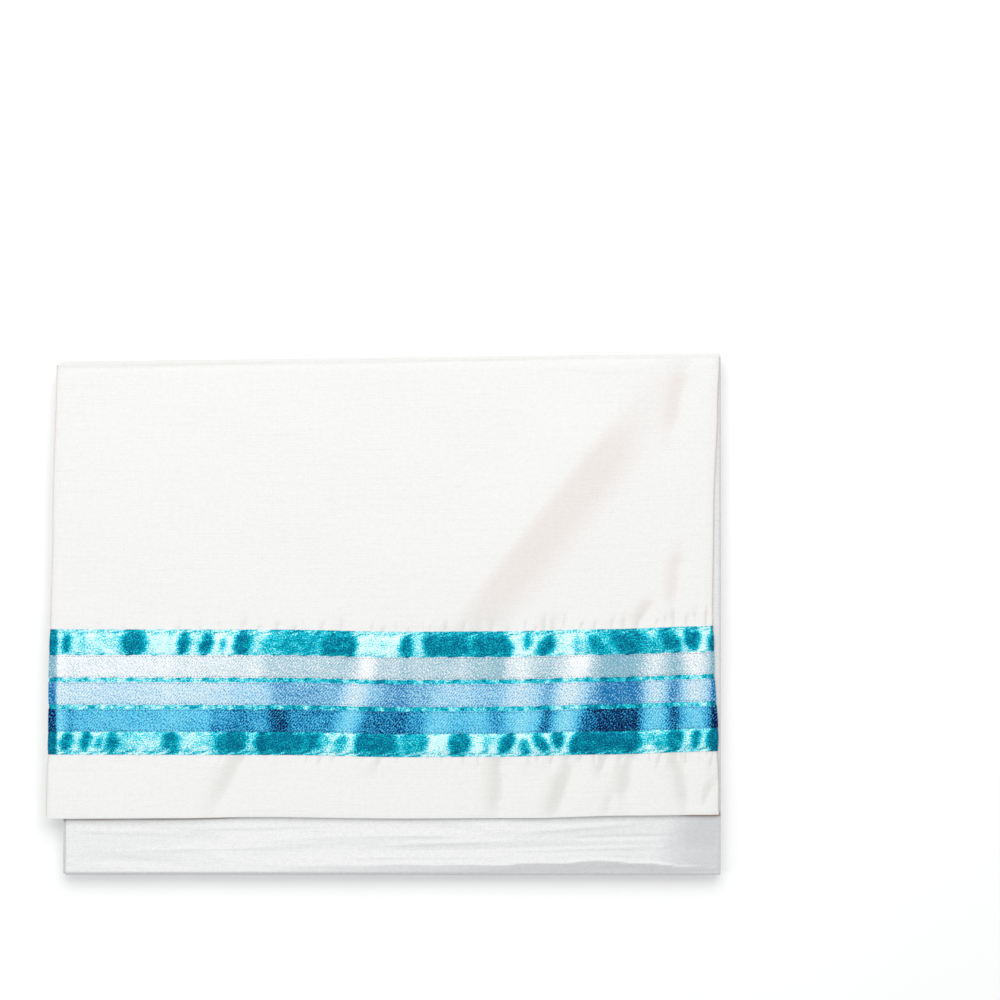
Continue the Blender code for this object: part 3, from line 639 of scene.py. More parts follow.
def upper_rows(sizes):
    """From the open hem, under the band, to the end of the back fold."""
    rows, radius = hem_rows(hem_line, sizes.cloth_thickness, sizes.hem_width, flap_row)
    lines = (
        shifted(hem_line, radius), along_band(0.0), along_band(BAND_WIDTH), shifted(back_line, -turn_reach(0))
    )
    places = (
        np.linspace(0, 1, 21), np.linspace(0, 1, 29), np.concatenate([np.linspace(*part) for part in BACK_SHARES])
    )
    along = 0.0
    for low, high, shares, length in zip(lines, lines[1:], places, (FRONT_LENGTH, BAND_WIDTH, BACK_LENGTH)):
        for share in shares[1:]:
            rows.append(flap_row(between(low, high, share), along + share * length, nap=top_lean))
        along += length
    # The turn round the back fold gets a fixed, light painted shade
    return rows + turn_rows(0, back_line, 1.0, top_edges, second_edges, along, top_relief, nap=constant(0.3))


def turn_rows(
    panel, line, outwards, edges_before, edges_after, along, upper=nothing, lower=nothing, nap=level_painted_shading
):
    """Rows round the fold from one panel to the next one down, without the row that starts it.

    outwards is 1 at the back, where the outer third is outermost, and -1 at the front.
    """
    high, low = PANEL_LEVELS[panel], PANEL_LEVELS[panel + 1]
    radius, centre = (high - low) / 2, (high + low) / 2

    def row_at(turned):
        swing = math.pi * (0.5 - turned)
        out = outwards * (radius * math.cos(swing) - radius - PANEL_HALF)
        fade = float(smooth(1 - 2 * turned))
        return Row(
            shifted(line, out),
            constant(centre + radius * math.sin(swing)),
            swing * outwards,
            lambda y: [mix(a, b, turned) for a, b in zip(edges_before(y), edges_after(y))],
            lambda x, y: upper(x, y) * fade,
            lambda x, y: lower(x, y) * fade,
            nothing,
            nap,
            along + math.pi * radius * turned,
        )

    return [row_at(step / TURN_STEPS) for step in range(1, TURN_STEPS + 1)]


def panel_rows(panel, angle, lines, along, edges, lower=nothing, nap=level_painted_shading):
    """Rows of a panel under the top one."""
    middle = constant(PANEL_LEVELS[panel])
    return [
        Row(line, middle, angle, edges, nothing, lower, nothing, nap, at) for line, at in zip(lines, along)
    ]


def lower_rows():
    """From the back fold, along the second panel, round the front fold to a short return."""
    back = shifted(back_line, -turn_reach(0))
    front_end = BUNDLE_FRONT + turn_reach(1)
    shares = np.linspace(0, 1, 9)
    lines = [between(back, constant(HIDDEN_END), share) for share in shares]
    near_hem = np.linspace(*NEAR_HEM)
    before_hem = (HIDDEN_END + near_hem[0]) / 2
    shown = np.concatenate(((before_hem,), near_hem, np.linspace(near_hem[-1], front_end, 27)[1:]))
    lines += [constant(y) for y in shown]
    along = np.concatenate((shares * HIDDEN_LENGTH, HIDDEN_LENGTH + HIDDEN_END - shown))
    rows = panel_rows(1, -UP, lines, along, second_edges, second_relief, second_lean)
    # The turn round the front fold gets a fixed, deep painted shade
    rows += turn_rows(
        1, constant(BUNDLE_FRONT), -1.0, second_edges, second_edges, along[-1],
        lower=second_relief, nap=constant(0.14),
    )
    stub = np.linspace(front_end, BUNDLE_FRONT + STUB_LENGTH, 5)[1:]
    stub_along = rows[-1].along + stub - front_end
    return rows + panel_rows(2, UP, [constant(y) for y in stub], stub_along, second_edges)


def wavy(line, height, start):
    """A line that wanders a little, as the edge of a folded layer does."""
    return lambda x: line(x) + height * (np.sin(x * 31 + start) + 0.5 * np.sin(x * 83 + 2 * start)) / 1.5


def hidden_rows(sizes):
    """The four panels beneath, from the second panel's return to the lowest panel's hem."""
    rows, along = [], 0.0
    edges_of = {
        panel: drawn_in(left * MM, right * MM) for panel, (left, right, _, _) in HIDDEN_INSETS.items()
    }
    for panel, (_, _, front, back) in HIDDEN_INSETS.items():
        ends = (
            wavy(constant(BUNDLE_FRONT + front * MM), 0.3 * MM, 0.7),
            wavy(shifted(back_line, -back * MM), 0.25 * MM, 1.1 * panel // 2),
        )
        outwards = 1.0 if panel % 2 == 0 else -1.0
        behind, ahead = ends if outwards > 0 else ends[::-1]
        angle, edges = outwards * UP, edges_of[panel]
        first = not rows
        start = constant(BUNDLE_FRONT + STUB_LENGTH) if first else shifted(behind, outwards * turn_reach(panel - 1))
        shares = np.linspace(0, 1, 13)[0 if first else 1 :]
        length = RETURN_LENGTH if first else PANEL_LENGTH
        if panel < LOWEST:
            end = shifted(ahead, -outwards * turn_reach(panel))
            lines = [between(start, end, share) for share in shares]
            rows += panel_rows(panel, angle, lines, along + shares * length, edges)
            rows += turn_rows(panel, ahead, outwards, edges, edges_of[panel + 1], along + length)
            along = rows[-1].along

    def hem_row(line, back_along, out):
        middle = constant(PANEL_LEVELS[LOWEST])
        return Row(line, middle, angle, edges, nothing, nothing, out, level_painted_shading, along + length - back_along)

    hem, radius = hem_rows(ahead, sizes.cloth_thickness, sizes.hem_width, hem_row)
    lines = [between(start, shifted(ahead, radius), share) for share in shares[:-1]]
    return rows + panel_rows(LOWEST, angle, lines, along + shares * length, edges) + hem[::-1]


# Ribbons

def ribbon_insets():
    """Each narrow ribbon's front and back edges, from the silver one to the royal blue one."""
    pitch = RIBBON_WIDTH + RIBBON_SPACE
    back_edges = [BAND_WIDTH - FIRST_RIBBON_INSET - i * pitch for i in range(3)]
    return [(back - RIBBON_WIDTH, back) for back in back_edges]


def strip_of(inset):
    """The crests and the heave of the strip of satin that a line along the band lies in."""
    silver, _, royal = ribbon_insets()
    if inset >= silver[1]:
        return BACK_STRIP_CRESTS, BACK_STRIP_HEAVE, (silver[1], BAND_WIDTH - TOPSTITCH_INSET)
    if inset <= royal[0]:
        return FRONT_STRIP_CRESTS, FRONT_STRIP_HEAVE, (TOPSTITCH_INSET, royal[0])
    return RIBBON_CRESTS, None, None


def satin_puff(inset):
    """How far the satin stands off the cloth along a line, as a function of x."""
    _, wave, seams = strip_of(inset)
    if wave is None:
        return nothing
    share = (inset - seams[0]) / (seams[1] - seams[0])
    arch = math.sqrt(max(0.0, math.sin(math.pi * min(1.0, max(0.0, share)))))
    return lambda x: arch * (0.45 * MM + np.interp(x, *wave))


def seam_ripple(x, size, start):
    """The uneven ripple that stitching gives a ribbon's edge."""
    waves = ((420, 1.0, 1.0), (710, 2.3, 0.9), (1240, 1.0, 0.6), (2050, 3.1, 0.4))
    return size * sum(part * np.sin(x * turns + start * shift) for turns, shift, part in waves) / 2


def end_shade(x, y=BAND_MIDDLE):
    """A painted shade: 1 on the band, falling to 0 where it rolls over the folds at its two ends."""
    left, right = top_edges(np.array([y]))
    shade = 1.0
    for inset, (dark, bright) in ((x - left, LEFT_END_SHADE), (right - x, RIGHT_END_SHADE)):
        shade = shade * smooth((inset - dark) / (bright - dark))
    return shade


def satin_nap(inset):
    """How far the satin leans to the light along a line, which paints its shade and highlight. Crests widen and are
    uneven near the seams.
    """
    crests, wave, seams = strip_of(inset)
    if wave is None:
        # Between the narrow ribbons the painted shading follows the band's gathers with an uneven ripple, and is
        # darker at the band's ends
        def gap_nap(x, y):
            common = lean(crests, x, inset, RIBBON_SOFTNESS)
            gap = 0.40 + 0.55 * seam_ripple(x, 1.0, 40 * inset / BAND_WIDTH)
            return np.clip(mix(common, gap, 0.6), 0.0, 1.0) * mix(0.3, 1.0, end_shade(x))

        return gap_nap
    share = (inset - seams[0]) / (seams[1] - seams[0])
    from_middle = min(1.0, abs(2 * share - 1))
    bulge = SEAM_BULGE * from_middle**2.5
    local = (share - 0.5) * (seams[1] - seams[0]) * 1.6 + BAND_WIDTH / 2
    at_seam = smooth((from_middle - 0.62) / 0.38)

    def strip_nap(x, y):
        plain = lean(crests, x, local, SATIN_SOFTNESS, bulge)
        uneven = 0.22 + 0.5 * plain + seam_ripple(x, 0.45, 60 * share)
        return mix(plain, np.clip(uneven, 0.0, 1.0), 0.75 * at_seam) * end_shade(x)

    return strip_nap


def satin_rows():
    ribbons = ribbon_insets()
    places = (0.0, TOPSTITCH_INSET, ribbons[2][0], ribbons[0][1], BAND_WIDTH - TOPSTITCH_INSET, BAND_WIDTH)
    insets = [0.0]
    for low, high, count in zip(places, places[1:], (3, 13, 17, 14, 3)):
        insets += list(np.linspace(low, high, count)[1:])
    return [flap_row(along_band(inset), inset, satin_puff(inset), satin_nap(inset)) for inset in insets]


def twill_row(inset, share, start, own_crests):
    """A row along a narrow ribbon, whose edges ripple between the stitches."""
    edge = abs(2 * share - 1) ** 4
    start = start + 5 * round(share)

    def line(x):
        return band_line(x, inset) + edge * seam_ripple(x, 0.34 * MM, start)

    def out(x):
        return edge * seam_ripple(x, 0.10 * MM, start + 2) + (1 - edge) * 0.08 * MM

    # The lean that paints the ribbon's shade and highlight: the band's gathers and the ribbon's own crests, with
    # painted shade at the band's ends
    def nap(x, y):
        common = SHADE + leaning(RIBBON_CRESTS, x, inset, RIBBON_SOFTNESS)
        return np.clip(common + leaning(own_crests, x, inset, OWN_SOFTNESS), 0.0, 1.0) * end_shade(x)

    return flap_row(line, inset, out, nap)


def twill_rows(front, back, start, own_crests):
    """Rows along a narrow ribbon, closer together at its edges."""
    shares = (0.0, 0.08, 0.2, 0.4, 0.6, 0.8, 0.92, 1.0)
    return [twill_row(mix(front, back, share), share, start, own_crests) for share in shares]


# Materials

TWILL_TURN = math.radians(40)
# Lengths of cloth from the hem, between which the folds' painted shade changes: past the band, and at the back rim
PAST_BAND = (0.112, 0.135)
AT_BACK_RIM = (0.262, 0.268)


def node(tree, kind, inputs=None, **settings):
    """A node with its settings, its inputs set to values or linked to other nodes' outputs."""
    made = tree.nodes.new(kind)
    for name, value in settings.items():
        setattr(made, name, value)
    for name, value in (inputs or {}).items():
        if isinstance(value, bpy.types.NodeSocket):
            tree.links.new(value, made.inputs[name])
        else:
            made.inputs[name].default_value = value
    return made


def group_of(name, inputs, outputs):
    """An empty node group, with its input and output nodes. A name gives each socket's type."""
    group = bpy.data.node_groups.new(name, "ShaderNodeTree")
    for names, way in ((inputs, "INPUT"), (outputs, "OUTPUT")):
        for socket, kind in names.items():
            group.interface.new_socket(name=socket, in_out=way, socket_type="NodeSocket" + kind)
    return group, group.nodes.new("NodeGroupInput"), group.nodes.new("NodeGroupOutput")


def maths(tree, operation, *values):
    return node(tree, "ShaderNodeMath", dict(enumerate(values)), operation=operation).outputs[0]


def blend_colours(tree, share, a, b, way="MIX"):
    made = node(tree, "ShaderNodeMix", {0: share, 6: a, 7: b}, data_type="RGBA", blend_type=way)
    return made.outputs[2]


def noise_at(tree, vector, scale, detail=2.0, roughness=0.5, turn=0.0):
    """Noise on a vector, turned on the cloth and stretched by a scale for each axis, in features a metre.

    It runs from about -1 to 1.
    """
    turned = node(tree, "ShaderNodeMapping", {"Vector": vector, "Rotation": (0.0, 0.0, turn)})
    mapping = node(tree, "ShaderNodeMapping", {"Vector": turned.outputs[0], "Scale": scale})
    inputs = {"Vector": mapping.outputs[0], "Scale": 1.0, "Detail": detail, "Roughness": roughness}
    noise = node(tree, "ShaderNodeTexNoise", inputs).outputs["Fac"]
    return maths(tree, "MULTIPLY_ADD", noise, 5.0, -2.5)


def sum_of(tree, *parts):
    """The sum of values, each given with its weight."""
    total = None
    for value, weight in parts:
        total = maths(tree, "MULTIPLY_ADD", value, weight, 0.0 if total is None else total)
    return total


def spread(tree, value, low, high):
    """A value stretched so that low becomes 0 and high becomes 1."""
    inputs = {"Value": value, "From Min": low, "From Max": high}
    return node(tree, "ShaderNodeMapRange", inputs, clamp=True).outputs[0]


def waves_at(tree, vector, turn, pitch, distortion=0.0):
    """Straight even waves, one each pitch, turned on the cloth."""
    mapping = node(tree, "ShaderNodeMapping", {"Vector": vector, "Rotation": (0.0, 0.0, turn)})
    scale = math.pi / (10 * pitch)
    inputs = {"Scale": scale, "Distortion": distortion, "Detail": 1.0, "Detail Scale": 1.0}
    inputs["Vector"] = mapping.outputs[0]
    return node(tree, "ShaderNodeTexWave", inputs, wave_type="BANDS").outputs["Fac"]


def slubbed_weave():
    """Plain weave with thicker stretches of yarn: a shade from 0 to 1, and a height."""
    tree, inside, outside = group_of("slubbed weave", {"Vector": "Vector"}, {"Shade": "Float", "Height": "Float"})
    uv = inside.outputs["Vector"]
    weft_slubs = noise_at(tree, uv, (16.0, 900.0, 1.0), 1.0)
    short_slubs = noise_at(tree, uv, (70.0, 1000.0, 1.0), 1.0)
    warp_slubs = noise_at(tree, uv, (1100.0, 50.0, 1.0), 1.0)
    mottle = noise_at(tree, uv, (330.0, 360.0, 1.0), 2.0, 0.6)
    grain = noise_at(tree, uv, (1150.0, 1250.0, 1.0), 1.0)
    threads = sum_of(tree, (weft_slubs, 0.5), (short_slubs, 0.35), (warp_slubs, 0.25))
    dark_threads = spread(tree, threads, 0.40, 1.10)
    shade = sum_of(tree, (mottle, 0.16), (grain, 0.30), (threads, -0.10), (dark_threads, -0.35))
    tree.links.new(maths(tree, "ADD", shade, 0.66), outside.inputs["Shade"])
    weft = waves_at(tree, uv, 0.0, 0.55 * MM)
    warp = waves_at(tree, uv, math.pi / 2, 0.50 * MM)
    height = sum_of(tree, (weft, 0.25), (warp, 0.25), (threads, 0.4), (grain, 0.15))
    tree.links.new(height, outside.inputs["Height"])
    return tree


def satin_face():
    """Satin's colour with painted shade and painted highlight from its lean to the light, with fine yarns along the
    ribbon.
    """
    tree, inside, outside = group_of(
        "satin face",
        {"Vector": "Vector", "Nap": "Float", "Deep": "Color", "Plain": "Color", "Light": "Color"},
        {"Color": "Color", "Height": "Float"},
    )
    uv = inside.outputs["Vector"]
    cloudy = noise_at(tree, uv, (170.0, 220.0, 1.0), 2.0)
    yarns = noise_at(tree, uv, (350.0, 2600.0, 1.0), 2.0)
    sparks = noise_at(tree, uv, (1150.0, 1250.0, 1.0), 1.0)
    # Clouds and fine points make the painted shade and highlight uneven
    nap = sum_of(tree, (inside.outputs["Nap"], 1.0), (cloudy, 0.15), (sparks, 0.34))
    colour = ramp_of(tree, nap, inside, ("Deep", 0.0), ("Plain", 0.5), ("Light", 1.0))
    tree.links.new(colour, outside.inputs["Color"])
    tree.links.new(yarns, outside.inputs["Height"])
    return tree


def ramp_of(tree, share, inside, *stops):
    """From colour to colour of a group's inputs, each with the share it stands at."""
    colour = inside.outputs[stops[0][0]]
    for (_, start), (name, end) in zip(stops, stops[1:]):
        colour = blend_colours(tree, spread(tree, share, start, end), colour, inside.outputs[name])
    return colour


def twill_face():
    """Twill's colour with painted shade and painted highlight from its lean to the light, with slanting lines and
    points of yarn, the bright ones painted glints.
    """
    tree, inside, outside = group_of(
        "twill face",
        {
            "Vector": "Vector", "Nap": "Float", "Speck": "Float", "Grain": "Float",
            "Deep": "Color", "Middle": "Color", "Plain": "Color", "Light": "Color",
        },
        {"Color": "Color", "Height": "Float"},
    )
    uv = inside.outputs["Vector"]
    lines = waves_at(tree, uv, TWILL_TURN, 1.35 * MM, 2.0)
    points = noise_at(tree, uv, (1500.0, 850.0, 1.0), 1.0, 0.5, TWILL_TURN)
    cloudy = noise_at(tree, uv, (110.0, 150.0, 1.0), 2.0)
    speck = maths(tree, "ADD", sum_of(tree, (lines, 0.5), (points, 1.0)), -0.25)
    plain = sum_of(tree, (inside.outputs["Nap"], 1.0), (cloudy, 0.07))
    fainter = maths(tree, "MULTIPLY", speck, spread(tree, plain, 1.6, 0.0))
    nap = maths(tree, "MULTIPLY_ADD", fainter, inside.outputs["Speck"], plain)
    # Points of yarn: dark ones take the colour leaning from the light, and bright ones are painted glints, whiter
    # where the twill leans to the light
    dark = maths(tree, "MULTIPLY", spread(tree, speck, 0.05, -0.8), inside.outputs["Grain"])
    bright = maths(tree, "MULTIPLY", spread(tree, speck, 0.05, 1.0), inside.outputs["Grain"])
    bright = maths(tree, "MULTIPLY", bright, spread(tree, plain, -0.2, 0.6))
    whiter = maths(tree, "MULTIPLY", spread(tree, plain, 0.0, 1.0), 0.3)
    glint = blend_colours(tree, whiter, inside.outputs["Light"], (1.0, 1.0, 1.0, 1.0))
    colour = ramp_of(tree, nap, inside, ("Deep", 0.0), ("Middle", 0.2), ("Plain", 0.5), ("Light", 1.0))
    colour = blend_colours(tree, dark, colour, inside.outputs["Deep"])
    colour = blend_colours(tree, bright, colour, glint)
    tree.links.new(colour, outside.inputs["Color"])
    tree.links.new(lines, outside.inputs["Height"])
    return tree


def new_material(name, **values):
    """A material with its node tree and its shader, whose inputs are given with _ for each space."""
    material = bpy.data.materials.new(name)
    material.use_nodes = True
    shader = material.node_tree.nodes["Principled BSDF"]
    for socket, value in values.items():
        shader.inputs[socket.replace("_", " ")].default_value = value
    return material, material.node_tree, shader


def cloth_inputs(tree):
    """The cloth's UV map and its lean to the light, which paints its shade and highlight."""
    uv = node(tree, "ShaderNodeUVMap", uv_map="cloth").outputs[0]
    return uv, node(tree, "ShaderNodeAttribute", attribute_name="nap").outputs["Fac"]


def grouped(tree, maker, inputs):
    """A node of a shared group, which is made the first time."""
    group = bpy.data.node_groups.get(maker.__name__.replace("_", " ")) or maker()
    return node(tree, "ShaderNodeGroup", inputs, node_tree=group)


def surfaced(tree, shader, colour, height, distance):
    """Give a shader its colour, and its relief of a height times a distance."""
    tree.links.new(colour, shader.inputs["Base Color"])
    bump = node(tree, "ShaderNodeBump", {"Height": height, "Distance": distance, "Strength": 1.0})
    tree.links.new(bump.outputs[0], shader.inputs["Normal"])


def slub_material(name, cloth, shade, folds, hem_shade, roughness=0.75, sheen=0.15):
    """White slubbed cloth, with painted shade in its folds where they lean from the light, another painted shade in
    those past the band, and a painted shadow under a hem.
    """
    material, tree, shader = new_material(
        name, Roughness=roughness, Sheen_Weight=sheen, Specular_IOR_Level=0.3
    )
    uv, nap = cloth_inputs(tree)
    weave = grouped(tree, slubbed_weave, {"Vector": uv})
    woven = blend_colours(tree, weave.outputs["Shade"], (*shade, 1.0), (*cloth, 1.0))
    along = node(tree, "ShaderNodeSeparateXYZ", {"Vector": uv}).outputs["Y"]
    # Which painted fold shade applies: it changes past the band and back again at the back rim
    shades = blend_colours(tree, spread(tree, along, *PAST_BAND), (*folds[0], 1.0), (*folds[1], 1.0))
    shades = blend_colours(tree, spread(tree, along, *AT_BACK_RIM), shades, (*folds[0], 1.0))
    # Painted shade where the cloth leans from the light, and a painted shadow where it leans least, under a hem
    folded = blend_colours(tree, spread(tree, nap, 0.0, 0.5), shades, (1.0, 1.0, 1.0, 1.0))
    folded = blend_colours(tree, spread(tree, nap, 0.0, 0.12), (*hem_shade, 1.0), folded)
    colour = blend_colours(tree, 1.0, woven, folded, "MULTIPLY")
    surfaced(tree, shader, colour, weave.outputs["Height"], 0.08 * MM)
    return material


def ribbon_material(name, face, colours, roughness, metallic, relief, **more):
    """Satin or twill, with painted shade and painted highlight from its lean to the light."""
    material, tree, shader = new_material(
        name, Roughness=roughness, Metallic=metallic, Specular_IOR_Level=0.05, Anisotropic=0.4
    )
    uv, nap = cloth_inputs(tree)
    inputs = {name: (*colour, 1.0) for name, colour in colours.items()}
    weave = grouped(tree, face, {"Vector": uv, "Nap": nap} | inputs | more)
    surfaced(tree, shader, weave.outputs["Color"], weave.outputs["Height"], relief)
    return material


def thread_material(name, colour):
    """Sewing thread, a little uneven along its length."""
    material, tree, shader = new_material(name, Roughness=0.45)
    position = node(tree, "ShaderNodeTexCoord").outputs["Object"]
    twist = noise_at(tree, position, (900.0, 2500.0, 900.0), 1.0)
    darker = tuple(0.55 * part for part in colour)
    colour = blend_colours(tree, twist, (*darker, 1.0), (*colour, 1.0))
    surfaced(tree, shader, colour, twist, 0.05 * MM)
    return material


# Sizes and colours that a user would change

def length_property(name, description, default):
    return FloatProperty(name=name, description=description, default=default, min=0.0, unit="LENGTH")


def colour_property(name, description, default):
    return FloatVectorProperty(
        name=name, description=description, default=default, size=3, min=0.0, max=1.0, subtype="COLOR"
    )


def nap_property(face, stop, default):
    """One of the colours between which a ribbon changes with its lean: painted shade and painted highlight of its
    colour.
    """
    ways = {"deep": "from the light", "middle": "a little from it", "plain": "neither way", "light": "to the light"}
    return colour_property(face + ", " + stop, face + " leaning " + ways[stop], default)


class ShawlSizes(bpy.types.PropertyGroup):
    """Thicknesses, heights and the size of the stitches"""

    cloth_thickness: length_property("Cloth thickness", "Thickness of the slubbed cloth", 0.30 * MM)
    third_pitch: length_property("Pitch of the thirds", "From one third of a panel to the next", 1.0 * MM)
    hem_width: length_property("Hem width", "How far the hem is turned under", 9.0 * MM)
    satin_thickness: length_property("Satin thickness", "Thickness of the satin ribbon", 0.20 * MM)
    twill_thickness: length_property("Twill thickness", "Thickness of the narrow ribbons", 0.25 * MM)
    satin_height: length_property("Satin height", "From the cloth's middle to the satin's", 0.40 * MM)
    twill_height: length_property("Twill height", "From the cloth's middle to the narrow ribbons'", 0.72 * MM)
    stitch_pitch: length_property("Stitch pitch", "From one stitch to the next", 1.8 * MM)
    stitch_length: length_property("Stitch length", "Length of a stitch that shows", 1.05 * MM)
    stitch_width: length_property("Stitch width", "Width of the thread", 0.42 * MM)


class ShawlColours(bpy.types.PropertyGroup):
    """Colours of the cloth, of its painted fold shade and painted hem shadow, and of the ribbons at each lean to the
    light, with painted shade and painted highlight
    """

    cloth: colour_property("Cloth", "The slubbed cloth", (0.845, 0.845, 0.835))
    cloth_shade: colour_property("Cloth shade", "The cloth between its slubs", (0.755, 0.750, 0.740))
    lower_cloth: colour_property("Lower cloth", "The cloth's other face, seen in front", (0.870, 0.870, 0.866))
    lower_shade: colour_property("Lower shade", "The other face between its slubs", (0.710, 0.710, 0.712))
    # Painted shade in the folds and creases, a painted shadow under the hem, and painted shade on the other face's
    # roll
    fold_shade: colour_property("Fold shade", "What a short fold takes from the cloth", (0.830, 0.825, 0.805))
    crease_shade: colour_property("Crease shade", "What a fold past the band takes", (0.935, 0.868, 0.845))
    hem_shade: colour_property("Hem shade", "The cloth right under the hem", (0.420, 0.280, 0.180))
    roll_shade: colour_property("Roll shade", "The same on the other face", (0.640, 0.645, 0.670))
    # Each ribbon's colours leaning from the light are painted shade, and leaning to it painted highlight
    satin_deep: nap_property("Satin", "deep", (0.000, 0.115, 0.215))
    satin_plain: nap_property("Satin", "plain", (0.003, 0.575, 0.700))
    satin_light: nap_property("Satin", "light", (0.700, 0.970, 0.985))
    silver_deep: nap_property("Silver", "deep", (0.178, 0.393, 0.502))
    silver_middle: nap_property("Silver", "middle", (0.285, 0.485, 0.575))
    silver_plain: nap_property("Silver", "plain", (0.430, 0.590, 0.660))
    silver_light: nap_property("Silver", "light", (0.905, 0.920, 0.945))
    sky_deep: nap_property("Sky", "deep", (0.000, 0.150, 0.385))
    sky_middle: nap_property("Sky", "middle", (0.100, 0.335, 0.570))
    sky_plain: nap_property("Sky", "plain", (0.300, 0.620, 0.830))
    sky_light: nap_property("Sky", "light", (0.680, 0.823, 0.874))
    royal_deep: nap_property("Royal", "deep", (0.000, 0.002, 0.052))
    royal_middle: nap_property("Royal", "middle", (0.000, 0.205, 0.460))
    royal_plain: nap_property("Royal", "plain", (0.085, 0.540, 0.810))
    royal_light: nap_property("Royal", "light", (0.260, 0.730, 0.910))


# Pieces

def finish_piece(piece, material, nodes):
    piece.data.materials.clear()
    piece.data.materials.append(material)
    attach(piece, "root")
    if nodes:
        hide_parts(*nodes)


def shawl_settings(context):
    return context.scene.shawl_sizes, context.scene.shawl_colours


def panel_columns(pitch, middle, outer, under):
    """Columns of a whole panel. middle and under count those on their thirds, and outer holds its shares.

    The selvedge ends just inside the left fold.
    """
    tucked = 0.0025
    return columns_of(
        pitch,
        ("middle third", np.linspace(1 - tucked, 0, middle)),
        ("left fold", fold_angles(7)),
        ("outer third", outer),
        ("right fold", fold_angles(9)),
        ("under third", np.linspace(1, tucked, under)),
    )


def ribbon_columns(pitch, count, round_the_fold):
    """Columns of a ribbon on the outer third, going on round both folds."""
    return columns_of(
        pitch,
        ("left fold", fold_angles(9, math.pi - round_the_fold)),
        ("outer third", np.linspace(0, 1, count)),
        ("right fold", fold_angles(9, 0.0, round_the_fold)),
    )


class SHAWL_OT_upper_panel(bpy.types.Operator):
    """Fold the panel with the band: its turned hem, its three thirds and the back fold"""

    bl_idname = "mesh.shawl_upper_panel"
    bl_label = "Upper Panel"

    def execute(self, context):
        sizes, colours = shawl_settings(context)
        outer = np.concatenate([np.linspace(*part) for part in RIM_SHARES])
        columns = panel_columns(sizes.third_pitch, 12, outer, 12)
        piece = make_sheet("upper_panel", columns, upper_rows(sizes), sizes, sizes.cloth_thickness)
        folds = (colours.fold_shade, colours.crease_shade)
        material = slub_material("slubbed cloth", colours.cloth, colours.cloth_shade, folds, colours.hem_shade)
        finish_piece(piece, material, ["shawl_cloth"])
        return {"FINISHED"}


class SHAWL_OT_lower_panel(bpy.types.Operator):
    """Fold the panel that shows past the hem, turned under at the front"""

    bl_idname = "mesh.shawl_lower_panel"
    bl_label = "Lower Panel"

    def execute(self, context):
        sizes, colours = shawl_settings(context)
        columns = panel_columns(sizes.third_pitch, 14, np.linspace(0, 1, 24), 220)
        piece = make_sheet("lower_panel", columns, lower_rows(), sizes, sizes.cloth_thickness)
        folds = (colours.roll_shade, colours.roll_shade)
        material = slub_material(
            "slubbed cloth, other face", colours.lower_cloth, colours.lower_shade, folds, colours.hem_shade, 0.6, 0.1
        )
        finish_piece(piece, material, ["shawl_cloth"])
        return {"FINISHED"}


class SHAWL_OT_hidden_panels(bpy.types.Operator):
    """Fold the four panels beneath, with a turned hem on the lowest"""

    bl_idname = "mesh.shawl_hidden_panels"
    bl_label = "Hidden Panels"

    def execute(self, context):
        sizes, colours = shawl_settings(context)
        columns = panel_columns(sizes.third_pitch, 24, np.linspace(0, 1, 40), 30)
        piece = make_sheet("hidden_panels", columns, hidden_rows(sizes), sizes, sizes.cloth_thickness)
        folds = (colours.fold_shade, colours.fold_shade)
        material = slub_material(
            "slubbed cloth, hidden", colours.cloth, colours.cloth_shade, folds, colours.hem_shade
        )
        finish_piece(piece, material, ["hidden_folds"])
        return {"FINISHED"}


class SHAWL_OT_satin_ribbon(bpy.types.Operator):
    """Lay the wide satin ribbon, puffed up between its seams"""

    bl_idname = "mesh.shawl_satin_ribbon"
    bl_label = "Satin Ribbon"

    def execute(self, context):
        sizes, colours = shawl_settings(context)
        columns = ribbon_columns(sizes.third_pitch, 560, math.radians(165))
        piece = make_sheet(
            "satin_ribbon", columns, satin_rows(), sizes, sizes.satin_thickness, sizes.satin_height
        )
        shades = {"Deep": colours.satin_deep, "Plain": colours.satin_plain, "Light": colours.satin_light}
        material = ribbon_material("turquoise satin ribbon", satin_face, shades, 0.32, 0.35, 0.06 * MM)
        finish_piece(piece, material, ["satin_band"])
        return {"FINISHED"}


class SHAWL_OT_twill_ribbons(bpy.types.Operator):
    """Lay the three narrow ribbons, whose edges ripple between their stitches"""

    bl_idname = "mesh.shawl_twill_ribbons"
    bl_label = "Twill Ribbons"

    def execute(self, context):
        sizes, colours = shawl_settings(context)
        columns = ribbon_columns(sizes.third_pitch, 440, math.radians(160))
        kinds = (("silver", 0.65, 0.08), ("sky", 0.34, 0.50), ("royal", 0.28, 0.42))
        for i, ((front, back), (name, speck, grain)) in enumerate(zip(ribbon_insets(), kinds)):
            shades = {
                stop.capitalize(): getattr(colours, name + "_" + stop)
                for stop in ("deep", "middle", "plain", "light")
            }
            rows = twill_rows(front, back, 3.0 * i + 1, OWN_CRESTS[name])
            piece = make_sheet(
                name + "_twill_ribbon", columns, rows, sizes, sizes.twill_thickness, sizes.twill_height
            )
            material = ribbon_material(
                name + " twill ribbon", twill_face, shades, 0.42, 0.15, 0.10 * MM, Speck=speck, Grain=grain
            )
            finish_piece(piece, material, [name + "_ribbon"])
        return {"FINISHED"}


